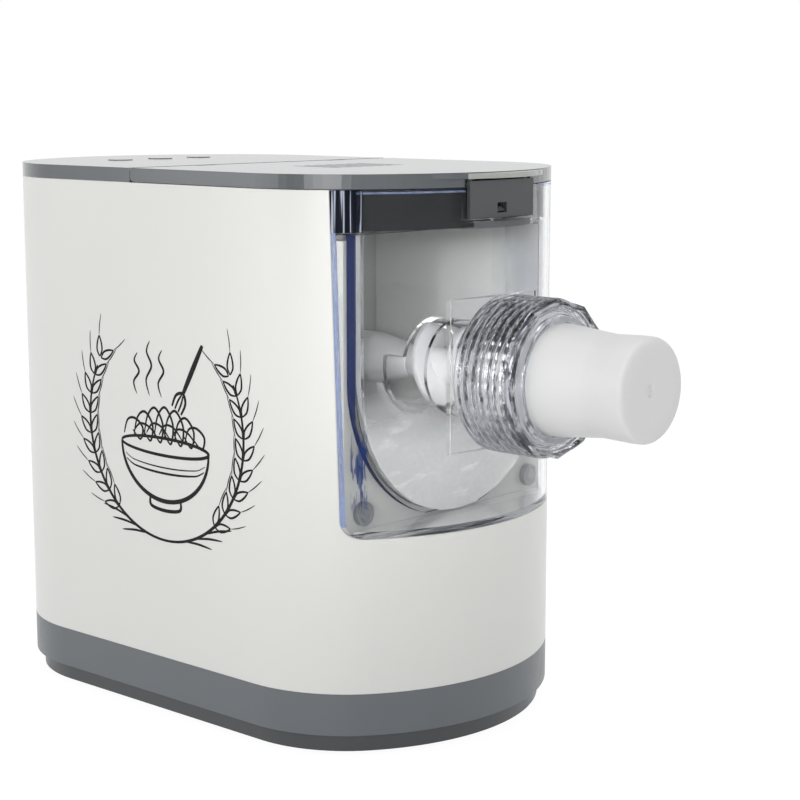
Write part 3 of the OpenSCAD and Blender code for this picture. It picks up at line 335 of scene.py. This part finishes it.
def metal(name, colour, rough, brushed=(1, 60, 1), grain=0.3):
    """Turned, ground or drawn metal with fine marks along one direction"""
    m, n = material(name)
    marks = n.noise(500, 4, 0.7, stretch=brushed)
    stain = n.noise(90, 4, 0.6)
    base = n.mix_colour(n.remap(stain, 0, 1, 0.35, 0.7), scaled(colour, 0.85), scaled(colour, 1.1))
    p = n.add("ShaderNodeBsdfPrincipled", Base_Color=base, Metallic=1.0,
              Normal=n.bump(grain, 0.03, marks, n.soft_edges(0.3)),
              Roughness=n.remap(marks, rough * 0.7, rough * 1.3, 0.3, 0.7))
    n.add("ShaderNodeOutputMaterial", Surface=p.outputs[0])
    return m


SATIN_KEY = dict(rough=0.26, grain=0.05, edge=0.4, sheen=0.55, coat_rough=0.12, blotch=0.2)
MOULDED = {
    "housing_white": dict(colour=(0.68, 0.68, 0.66), rough=0.32, grain=0.05, edge=0.5, spread=0.012,
                          edge_wear_and_highlight=0.0),
    # the base's recessed plinth carries a painted shade
    "base_grey": dict(colour=(0.122, 0.136, 0.148), rough=0.36, grain=0.2, edge=0.5, accent=painted_plinth_shade),
    # painted highlight on the lid's front lip
    "lid_grey": dict(colour=(0.072, 0.082, 0.090), rough=0.26, grain=0.05, edge=0.6, sheen=0.55,
                     coat_rough=0.12, edge_wear_and_highlight=0.1, blotch=0.2, accent=painted_lip_highlight),
    "smoked": dict(colour=(0.008, 0.009, 0.0105), rough=0.3, grain=0.06, edge=0.4, sheen=0.0, gloss=0.15),
    "latch_grey": dict(colour=(0.034, 0.038, 0.041), rough=0.34, grain=0.3, edge=0.35, streaks=(4, 1, 60)),
    # painted shade greys the chamber's back wall
    "liner_grey": dict(colour=(0.93, 0.93, 0.88), rough=0.3, grain=0.02, edge=0.5, spread=0.02, edge_wear_and_highlight=0.05,
                       accent=grey_frame_and_painted_back_shade),
    "print_ink": dict(colour=(0.007, 0.007, 0.008), rough=0.6, grain=0.1, edge=0.05, sheen=0.0, edge_wear_and_highlight=0.0,
                      gloss=0.2),
    "paddle_white": dict(colour=(0.93, 0.93, 0.92), rough=0.36, grain=0.06, edge=0.6, spread=0.012,
                         edge_wear_and_highlight=0.0),
    "press_white": dict(colour=(0.62, 0.625, 0.62), rough=0.42, grain=0.08, edge=0.6, spread=0.015,
                        edge_wear_and_highlight=0.0),
    "rubber_dark": dict(colour=(0.018, 0.018, 0.019), rough=0.75, grain=0.5, edge=0.4),
    "peg_grey": dict(colour=(0.15, 0.16, 0.165), rough=0.4, grain=0.2, edge=0.5),
    "gear_case": dict(colour=(0.50, 0.51, 0.52), rough=0.45, grain=0.5, edge=0.6, metallic=1.0, spread=0.12),
    "gear_nylon": dict(colour=(0.78, 0.74, 0.62), rough=0.42, grain=0.2, edge=0.3),
    "magnet": dict(colour=(0.045, 0.045, 0.048), rough=0.6, grain=0.5, edge=0.3, spread=0.3),
    "black_plastic": dict(colour=(0.016, 0.016, 0.018), rough=0.42, grain=0.3, edge=0.35),
    "board_green": dict(colour=(0.010, 0.075, 0.035), rough=0.3, grain=0.2, edge=0.15, spread=0.25),
    "key_light": dict(colour=(0.08, 0.09, 0.098), **SATIN_KEY),
    "key_dark": dict(colour=(0.078, 0.088, 0.096), **SATIN_KEY),
}
CLEAR = {
    "clear_tub": dict(ior=1.36, density=2.88, lines=tub_lines),
    "clear_cover": dict(ior=1.22, density=3.6, lines=cover_lines),
    # the nut's dark dashes are a painted reflection
    "clear_nut": dict(ior=1.49, density=72.0, lines=painted_nut_reflections, edge=0.25, wavy=0.2,
                      depth_colour=(0.40, 0.42, 0.50)),
}
METAL = {
    "bearing_steel": dict(colour=(0.56, 0.56, 0.57), rough=0.24),
    "bush_bronze": dict(colour=(0.60, 0.36, 0.14), rough=0.4),
    "motor_steel": dict(colour=(0.42, 0.43, 0.44), rough=0.38, brushed=(1, 40, 1)),
    "winding": dict(colour=(0.55, 0.22, 0.09), rough=0.36, brushed=(1, 90, 1), grain=0.8),
    "contact_metal": dict(colour=(0.74, 0.73, 0.70), rough=0.18),
    "fastener": dict(colour=(0.58, 0.58, 0.58), rough=0.3),
}
mats = {name: make(name, **look) for make, looks in ((moulded, MOULDED), (clear, CLEAR), (metal, METAL))
        for name, look in looks.items()}

# CAD nodes take the material of their slot, apart from these
OWN_MATERIAL = {"rear_cover": "lid_grey", "latch_plate": "latch_grey"}
for part in frame["record"]["subparts"]:
    for s in frame["nodes"][part["node"]].material_slots:
        s.material = mats[OWN_MATERIAL.get(part["node"], part["material_slot"])]


# ---------- pieces drawn here ----------

def publish(name, drawn, mat, body, angle):
    """Makes one piece from (points, faces) in millimetres; edges over angle degrees stay sharp"""
    points, faces = drawn
    me = bpy.data.meshes.new(name)
    me.from_pydata([Vector(p) * MM for p in points], [], faces)
    weld, too_short = 2e-6, 1e-6
    bm = bmesh.new()
    bm.from_mesh(me)
    bmesh.ops.remove_doubles(bm, verts=bm.verts, dist=weld)
    bmesh.ops.dissolve_degenerate(bm, edges=bm.edges, dist=too_short)
    bmesh.ops.recalc_face_normals(bm, faces=bm.faces)
    bm.to_mesh(me)
    bm.free()
    me.shade_smooth()
    me.set_sharp_from_angle(angle=math.radians(angle))
    me.materials.append(mats[mat])
    o = bpy.data.objects.new(name, me)
    scene.collection.objects.link(o)
    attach(o, body)
    return o


def joined(*drawn):
    """Several (points, faces) as one"""
    points, faces = [], []
    for p, f in drawn:
        faces += [tuple(i + len(points) for i in face) for face in f]
        points += p
    return points, faces


def rounded(corners, steps):
    """Closed line through (u, v, radius) corners, each one rounded"""
    line = []
    for i, (u, v, r) in enumerate(corners):
        p = Vector((u, v))
        a = Vector(corners[i - 1][:2]) - p
        b = Vector(corners[(i + 1) % len(corners)][:2]) - p
        if r <= 0:
            line.append((u, v))
            continue
        d = min(r / math.tan(a.angle(b) / 2), a.length * 0.49, b.length * 0.49)
        s, e = p + a.normalized() * d, p + b.normalized() * d
        for k in range(steps + 1):
            t = k / steps
            q = s * (1 - t) ** 2 + p * 2 * t * (1 - t) + e * t * t
            line.append((q.x, q.y))
    return line


def revolve(line, count, shape=None):
    """Closed (radius, y) line turned about the screw's axis; shape(r, y, angle) gives another radius"""
    m = len(line)
    points, faces = [], []
    for j in range(count):
        a = math.tau * j / count
        for r, y in line:
            r = shape(r, y, a) if shape else r
            points.append((r * math.cos(a), y, AXIS + r * math.sin(a)))
    for j in range(count):
        k = (j + 1) % count
        for i in range(m):
            h = (i + 1) % m
            faces.append((j * m + i, j * m + h, k * m + h, k * m + i))
    return points, faces


def rings(loops):
    """Skin over closed loops of equally many points, with both ends closed"""
    m = len(loops[0])
    points = [p for loop in loops for p in loop]
    faces = []
    for j in range(len(loops) - 1):
        for i in range(m):
            h = (i + 1) % m
            faces.append((j * m + i, j * m + h, (j + 1) * m + h, (j + 1) * m + i))
    return points, faces + [tuple(range(m)), tuple(range(len(points) - m, len(points)))]


def retaining_nut():
    """Clear nut with seven ribs, an inner thread, fluted bore and scalloped front ring"""
    back, front, step_y, bore = -158.3, -195.8, -189.7, 36.1
    ribs, rib_r, valley_r, rib_pitch = 7, 40, 38.2, 4.5
    threads, flutes, flute_depth = (-183.9, -178.9, -173.9, -168.9, -163.9), 18, 0.45
    half_facet = math.pi / 12
    c = [(bore, back, 0.4), (38.3, back, 0.5)]
    for i in range(ribs):
        y = back - 2.6 - rib_pitch * i
        c += [(valley_r, y + 1.7, 0.4), (rib_r, y + 0.6, 0.5), (rib_r, y - 0.6, 0.5),
              (valley_r, y - 1.7, 0.4)]
    c += [(39.9, -190.6, 0.6), (39.9, -194.2, 0.8), (38.3, front, 0.6), (36.9, front, 0.4),
          (bore, -192.8, 0.6), (32.4, -192.8, 0.6), (31.7, front, 0.4), (28.8, front, 0.5),
          (28.8, step_y, 0.5), (bore, step_y, 0.9)]
    for y in threads:
        inward = 34.4 if y > -176 else 35.2
        c += [(bore, y - 1.2, 0.3), (inward, y - 0.4, 0.3), (inward, y + 0.4, 0.3), (bore, y + 1.2, 0.3)]

    def shape(r, y, a):
        if r > 37 and y < -189.6:       # front ring
            facet = (a % (2 * half_facet)) - half_facet
            return r * math.cos(half_facet) / math.cos(facet)
        if 35.6 < r < 36.4 and -189 < y < back - 0.6:       # bore
            return r + flute_depth * abs(math.sin(flutes * a))
        return r
    o = publish("nut_ribbed", revolve(rounded(c, 2), 288, shape), "clear_nut", "nut", 40)
    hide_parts("retaining_nut")


def nozzle_cap():
    """Smooth hollow cap with a dished end"""
    c = [(22, -184.3, 0.5), (33, -184.3, 0.6), (33, -189.3, 0.6), (28, -189.3, 0.8), (28, -197.5, 4),
         (25.3, -225.8, 14), (25.9, -240.5, 5), (25.9, -249.8, 6.4), (18.6, -249.8, 4), (10, -248.9, 4),
         (3.2, -248.6, 0.5), (2.5, -247.7, 0.5), (0, -247.6, 0), (0, -243.8, 0), (22, -243.8, 1.5)]
    o = publish("cap_smooth", revolve(rounded(c, 6), 144), "press_white", "root", 50)
    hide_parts("nozzle_cap")


def pegs():
    """Grey pegs with a ring and a shallow dimple in their front"""
    peg_x, peg_z = 66, 122
    c = [(0, -122.2, 0), (6, -122.2, 0.3), (6, -125.7, 0.6), (4.6, -125.7, 0.3), (4.2, -124.9, 0.3),
         (3.2, -124.9, 0.3), (2.8, -125.5, 0.4), (1.2, -125.5, 0.6), (0, -125.1, 0)]
    points, faces = revolve(rounded(c, 3), 48)
    pair = [([(x + side * peg_x, y, z - AXIS + peg_z) for x, y, z in points], faces) for side in (-1, 1)]
    o = publish("pegs_ringed", joined(*pair), "peg_grey", "root", 40)
    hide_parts("locating_pegs")


def screw():
    """Core with a rounded nose, one even helical flight and a square tenon"""
    core = rounded([(0, -99.9, 0), (9, -99.9, 0.8), (9, -177, 3), (4, -183, 2.5), (0, -183, 0)], 4)
    start, length, turns, steps = -104, 66.6, 2.5, 160
    root_r, flight_r, run_out, taper = 8, 21, 6, 14       # the flight gets lower by run_out at both ends
    loops = []
    for k in range(steps + 1):
        t = k / steps
        a = math.tau * turns * t
        y = start - length * t
        tip = flight_r - run_out * max(0, 1 - t * taper) - run_out * max(0, 1 - (1 - t) * taper)
        cut = rounded([(root_r, y + 2.9, 0), (tip, y + 1.5, 0.7), (tip, y - 1.5, 0.7),
                       (root_r, y - 2.9, 0)], 3)
        loops.append([(r * math.cos(a), v, AXIS + r * math.sin(a)) for r, v in cut])
    square = rounded([(-4, -4, 0.5), (4, -4, 0.5), (4, 4, 0.5), (-4, 4, 0.5)], 2)
    tenon = rings([[(u, y, AXIS + v) for u, v in square] for y in (-100.9, -87.9)])
    o = publish("screw_helix", joined(revolve(core, 64), rings(loops), tenon), "paddle_white", "spindle",
                40)
    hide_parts("extrusion_screw")


def scoop(back, front, turn):
    """Curved blade with soft edges, from the hub out to the tub, turned by so many degrees"""
    reach, thick, length = 66.0, 5.0, 75
    bend = reach * 0.73 - thick / 2             # radius of the blade's curve
    middle = reach * 0.73 - 6                   # how far that curve's middle is from the axis
    last = math.degrees(math.asin((reach ** 2 - bend ** 2 - middle ** 2) / (2 * bend * middle))) - 0.5
    nu, nv = 30, 26                             # steps from hub to tub and along the axis
    turn = math.radians(turn)
    sides = ([], [])
    for j in range(nv + 1):
        v = j / nv
        e = abs(2 * v - 1)
        far = -90 + (last + 90) * (1 - 0.16 * e ** 7)       # the outer corners are rounded off
        y = back + (front - back) * v
        for i in range(nu + 1):
            u = i / nu
            b = math.radians(-90 + (far + 90) * u)
            edge = min((1 - e) * abs(front - back) / 2, (1 - u) * length) / (thick / 2)
            half = thick / 2 * (1 - 0.25 * u) * math.sqrt(max(0.0, 1 - max(0.0, 1 - edge) ** 2))
            half = max(half, 0.02)
            for side, sign in zip(sides, (-1, 1)):
                r = bend + sign * half
                x, z = r * math.cos(b), middle + r * math.sin(b)
                side.append((x * math.cos(turn) + z * math.sin(turn), y,
                             AXIS - x * math.sin(turn) + z * math.cos(turn)))
    m = nu + 1
    n = m * (nv + 1)
    faces = []
    for j in range(nv):
        for i in range(nu):
            q = (j * m + i, j * m + i + 1, (j + 1) * m + i + 1, (j + 1) * m + i)
            faces += [q, tuple(n + k for k in reversed(q))]
    rim = list(range(m)) + [j * m + nu for j in range(1, nv + 1)]
    rim += [nv * m + i for i in range(nu - 1, -1, -1)] + [j * m for j in range(nv - 1, 0, -1)]
    for k, i in enumerate(rim):
        h = rim[(k + 1) % len(rim)]
        faces.append((i, h, n + h, n + i))
    return sides[0] + sides[1], faces


def paddle():
    """White hub with two scoops"""
    hub = rounded([(6.4, -9.5, 0.5), (12.4, -9.5, 1), (13.5, -12, 2), (13.5, -74, 6), (10.6, -88, 10),
                   (8.2, -99.5, 1.2), (5.8, -99.5, 0.4), (5.8, -86, 0.2), (6.4, -52, 0.2)], 5)
    o = publish("paddle_hub", joined(revolve(hub, 72), scoop(-15.5, -75.5, 84), scoop(-12.5, -39.5, 264)),
                "paddle_white", "spindle", 45)
    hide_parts("mixing_paddle")


# ---------- line drawing on the side ----------

def on_side(u, v, proud):
    """Point on the left side of the housing: u towards the front and v up, from the drawing's middle"""
    half_w, corner_r, corner_x, flat = 98.2, 70, 28.2, 77.85
    middle_y, middle_z = -12.0, 150.0
    s, z = middle_y - u, middle_z + v
    if abs(s) <= flat:
        return -half_w - proud, s, z
    a, r = (abs(s) - flat) / corner_r, corner_r + proud
    return -corner_x - r * math.cos(a), math.copysign(flat + r * math.sin(a), s), z


def smooth(points, per):
    """Even curve through the points, with so many steps from each to the next"""
    p = [Vector(points[0])] + [Vector(q) for q in points] + [Vector(points[-1])]
    line = []
    for a, b, c, d in zip(p, p[1:], p[2:], p[3:]):
        for k in range(per):
            t = k / per
            line.append(0.5 * (2 * b + (c - a) * t + (2 * a - 5 * b + 4 * c - d) * t * t
                               + (3 * b - 3 * c + d - a) * t ** 3))
    return line + [p[-1]]


def stroke(points, width, taper, per=8):
    """Slightly raised pen line that thins out towards its two ends"""
    fine, foot, shoulder, crest = 0.8, 0.02, 0.08, 0.1
    line = smooth(points, per)
    rows = []
    for i, q in enumerate(line):
        d = (line[min(i + 1, len(line) - 1)] - line[max(i - 1, 0)]).normalized()
        t = i / (len(line) - 1)
        w = width * fine * (1 - taper + taper * math.sin(math.pi * t) ** 0.6)
        side = Vector((-d.y, d.x)) * w
        left, right = q - side, q + side
        rows.append([on_side(*left, foot), on_side(*left, shoulder), on_side(*q, crest),
                     on_side(*right, shoulder), on_side(*right, foot)])
    return rings(rows)


def polar(r, degrees, centre=(0, 0)):
    a = math.radians(degrees)
    return centre[0] + r * math.cos(a), centre[1] + r * math.sin(a)


def ear_of_wheat(side):
    """Pen lines of one ear, the left one for side -1 and the right one for side 1"""
    bend, middle = 60, (0, 6)

    def pen(points, width, taper, per):
        return stroke([(side * p[0], p[1]) for p in points], width, taper, per)
    marks = [pen([polar(bend, a, middle) for a in range(-104, 34, 6)], 1.1, 0.5, 3)]
    for k in range(9):
        a = -52 + 10.5 * k
        root, out, along = Vector(polar(bend, a, middle)), Vector(polar(1, a)), Vector(polar(1, a + 90))
        for lean in (-1, 1):
            d = (along * 0.84 + out * lean * 0.54).normalized()
            n = Vector((-d.y, d.x))
            b = root + d * 1.2
            tip = b + d * 11.5
            for bulge in (-1, 1):
                grain = [b, b + d * 3.4 + n * 2.0 * bulge, b + d * 7.6 + n * 1.6 * bulge, tip]
                marks.append(pen(grain, 0.75, 0.5, 5))
            marks.append(pen([tip, b + d * 16 + along * 1.2, b + d * 20 + along * 4], 0.4, 0.9, 4))
    for a in (-76, -68, -60):
        stalk = [polar(bend, a, middle), polar(63, a + 9, middle), polar(69, a + 17, middle)]
        marks.append(pen(stalk, 0.8, 0.9, 6))
    return marks


def bowl():
    """Rim, wall, foot and two bands"""
    half, rim_v, rim_dip, depth = 34, -4, 4.6, 29
    rim = [(half * math.cos(t / 24 * math.tau), rim_v + rim_dip * math.sin(t / 24 * math.tau))
           for t in range(12, 37)]
    wall = [(half * math.cos(math.radians(a)), rim_v + depth * math.sin(math.radians(a)))
            for a in range(-180, 1, 12)]
    marks = [stroke(rim, 1.1, 0.25, 3), stroke(wall, 1.5, 0.45, 4),
             stroke([(-12, -32), (-11, -36.5), (0, -38), (11, -36.5), (12, -32)], 1.2, 0.3)]
    for low, width in ((6.5, 0.5), (9.5, 0.8)):
        band = [(k * (33 - low * 0.28) / 6, rim_v - low - rim_dip * math.sqrt(max(0, 1 - (k / 6) ** 2)))
                for k in range(-6, 7)]
        marks.append(stroke(band, width, 0.6, 4))
    return marks


def noodles():
    marks = []
    for x in range(-24, 25, 8):
        lift = 13 * math.cos(x / 20)
        marks.append(stroke([(x - 8, 0), (x - 5, 5 + lift * 0.5), (x + 1, 4 + lift),
                             (x + 7, 2 + lift * 0.5), (x + 5, -2), (x - 1, 1 + lift * 0.3)], 0.9, 0.6))
    for x in range(-16, 15, 10):
        sink = abs(x) * 0.1
        marks.append(stroke([(x - 8, 2), (x - 3, 8 - sink), (x + 4, 7 - sink), (x + 10, 1)], 0.8, 0.6))
    return marks


def fork():
    """Fork that stands in the noodles and leans to the right"""
    up, across, foot = Vector((0.5, 0.866)), Vector((0.866, -0.5)), Vector((8, 13))

    def pen(points, width, taper):
        return stroke([foot + up * v + across * u for u, v in points], width, taper)
    marks = [pen([(0, 14), (0, 24), (0, 34), (0, 45)], 2.0, 0.45),
             pen([(-4, 4), (-4, 11), (0, 14.5), (4, 11), (4, 4)], 1.1, 0.4)]
    return marks + [pen([(1.4 * k, 4), (1.4 * k, 9), (0.6 * k, 13.5)], 0.8, 0.4) for k in (-1, 1)]


def steam():
    low = 22
    return [stroke([(x, low), (x - 2.4, low + h * 0.28), (x + 2, low + h * 0.55), (x - 1.6, low + h * 0.8),
                    (x + 1, low + h)], 0.9, 0.9) for x, h in ((-21, 22), (-11, 29), (-1.5, 25))]


def drawing():
    """Bowl of noodles between two ears of wheat"""
    marks = ear_of_wheat(-1) + ear_of_wheat(1) + bowl() + noodles() + fork() + steam()
    publish("side_print", joined(*marks), "print_ink", "root", 60)


retaining_nut()
nozzle_cap()
pegs()
screw()
paddle()
drawing()


# ---------- floor, light and camera, in metres ----------

def pale_floor():
    """White where it is seen or mirrored, and plain enough to keep the object's shadow"""
    r, own_light, white = 12, 0.88, 1.07
    me = bpy.data.meshes.new("studio_floor")
    me.from_pydata([(-r, -r, 0), (r, -r, 0), (r, r, 0), (-r, r, 0)], [], [(0, 1, 2, 3)])
    o = bpy.data.objects.new("studio_floor", me)
    scene.collection.objects.link(o)
    m, n = material("studio_floor")
    path = n.add("ShaderNodeLightPath").outputs
    mirrored = n.math("ADD", path["Is Glossy Ray"], path["Is Transmission Ray"])
    seen = n.math("ADD", path["Is Camera Ray"], mirrored, clamp=True)
    lit = n.add("ShaderNodeBsdfDiffuse", Color=(0.86, 0.86, 0.86))
    glow = n.add("ShaderNodeEmission", Color=(1, 1, 1), Strength=white)
    n.add("ShaderNodeOutputMaterial", Surface=n.mix_shader(n.product(seen, own_light), lit, glow).outputs[0])
    me.materials.append(m)


def put(name, data, location, aim):
    """Lamp or camera at a location, turned towards aim"""
    o = bpy.data.objects.new(name, data)
    o.location = location
    o.rotation_euler = (Vector(aim) - o.location).to_track_quat("-Z", "Y").to_euler()
    scene.collection.objects.link(o)
    return o


def softbox(name, location, aim, width, height, watts):
    data = bpy.data.lights.new(name, "AREA")
    data.shape, data.size, data.size_y, data.energy = "RECTANGLE", width, height, watts
    put(name, data, location, aim)


def snoot(name, location, aim, degrees, watts):
    data = bpy.data.lights.new(name, "SPOT")
    data.energy, data.shadow_soft_size = watts, 0.1
    data.spot_size, data.spot_blend = math.radians(degrees), 0.5
    put(name, data, location, aim)


def room():
    """World that is white to the camera, pale behind the object and dimmer behind the viewer"""
    away, dim, behind_viewer, behind_object = (0.74, 0.66, 0.12), 0.16, -0.75, 0.15
    world = bpy.data.worlds.new("studio")
    scene.world = world
    world.use_nodes = True
    n = Nodes(world.node_tree)
    path = n.add("ShaderNodeLightPath").outputs
    way = n.add("ShaderNodeTexCoord").outputs["Generated"]
    back = n.add("ShaderNodeVectorMath", set_operation="DOT_PRODUCT", i0=way, i1=away)
    level = n.remap(back.outputs["Value"], dim, 1.0, behind_viewer, behind_object)
    mirror = n.math("ADD", path["Is Glossy Ray"], path["Is Transmission Ray"], clamp=True)
    level = n.product(level, n.remap(mirror, 0.8, 1.0))
    camera = path["Is Camera Ray"]
    level = n.math("ADD", n.product(level, n.math("SUBTRACT", 1.0, camera)), camera)
    b = n.add("ShaderNodeBackground", Color=(1, 1, 1), Strength=level)
    n.add("ShaderNodeOutputWorld", Surface=b.outputs[0])


def studio():
    room()
    softbox("softbox_left", (-1.8, 1.0, 0.7), (0, 0, 0.15), 1.5, 1.3, 9)
    softbox("softbox_window", (-1.9, -0.95, 0.50), (0, -0.05, 0.19), 1.1, 1.1, 12)
    softbox("softbox_top", (0.1, -0.1, 1.7), (0, 0, 0.1), 1.4, 1.4, 8)
    softbox("softbox_front", (-0.75, -1.9, 0.75), (0, -0.05, 0.19), 0.9, 0.9, 5)
    softbox("softbox_right", (1.5, -1.4, 0.8), (0, -0.05, 0.15), 0.8, 1.2, 3)
    # narrow lamps that reach into the mixing chamber
    snoot("snoot_upper", (-1.05, -0.68, 0.42), (0.095, -0.115, 0.24), 8.0, 22)
    snoot("snoot_lower", (-0.90, -0.86, 0.33), (0.030, -0.07, 0.168), 8.0, 18)
    camera = bpy.data.cameras.new("camera")
    camera.lens = 86.19
    camera.sensor_width = 36
    camera.clip_end = 60
    scene.camera = put("camera", camera, Vector((-745.7, -759.6, 330.6)) * MM,
                       Vector((79.18, -17.59, 150)) * MM)
    scene.view_settings.view_transform = "Standard"
    # light passes many clear walls before it leaves the chamber
    scene.cycles.max_bounces = 24
    scene.cycles.transmission_bounces = 24
    scene.cycles.transparent_max_bounces = 24


pale_floor()
studio()
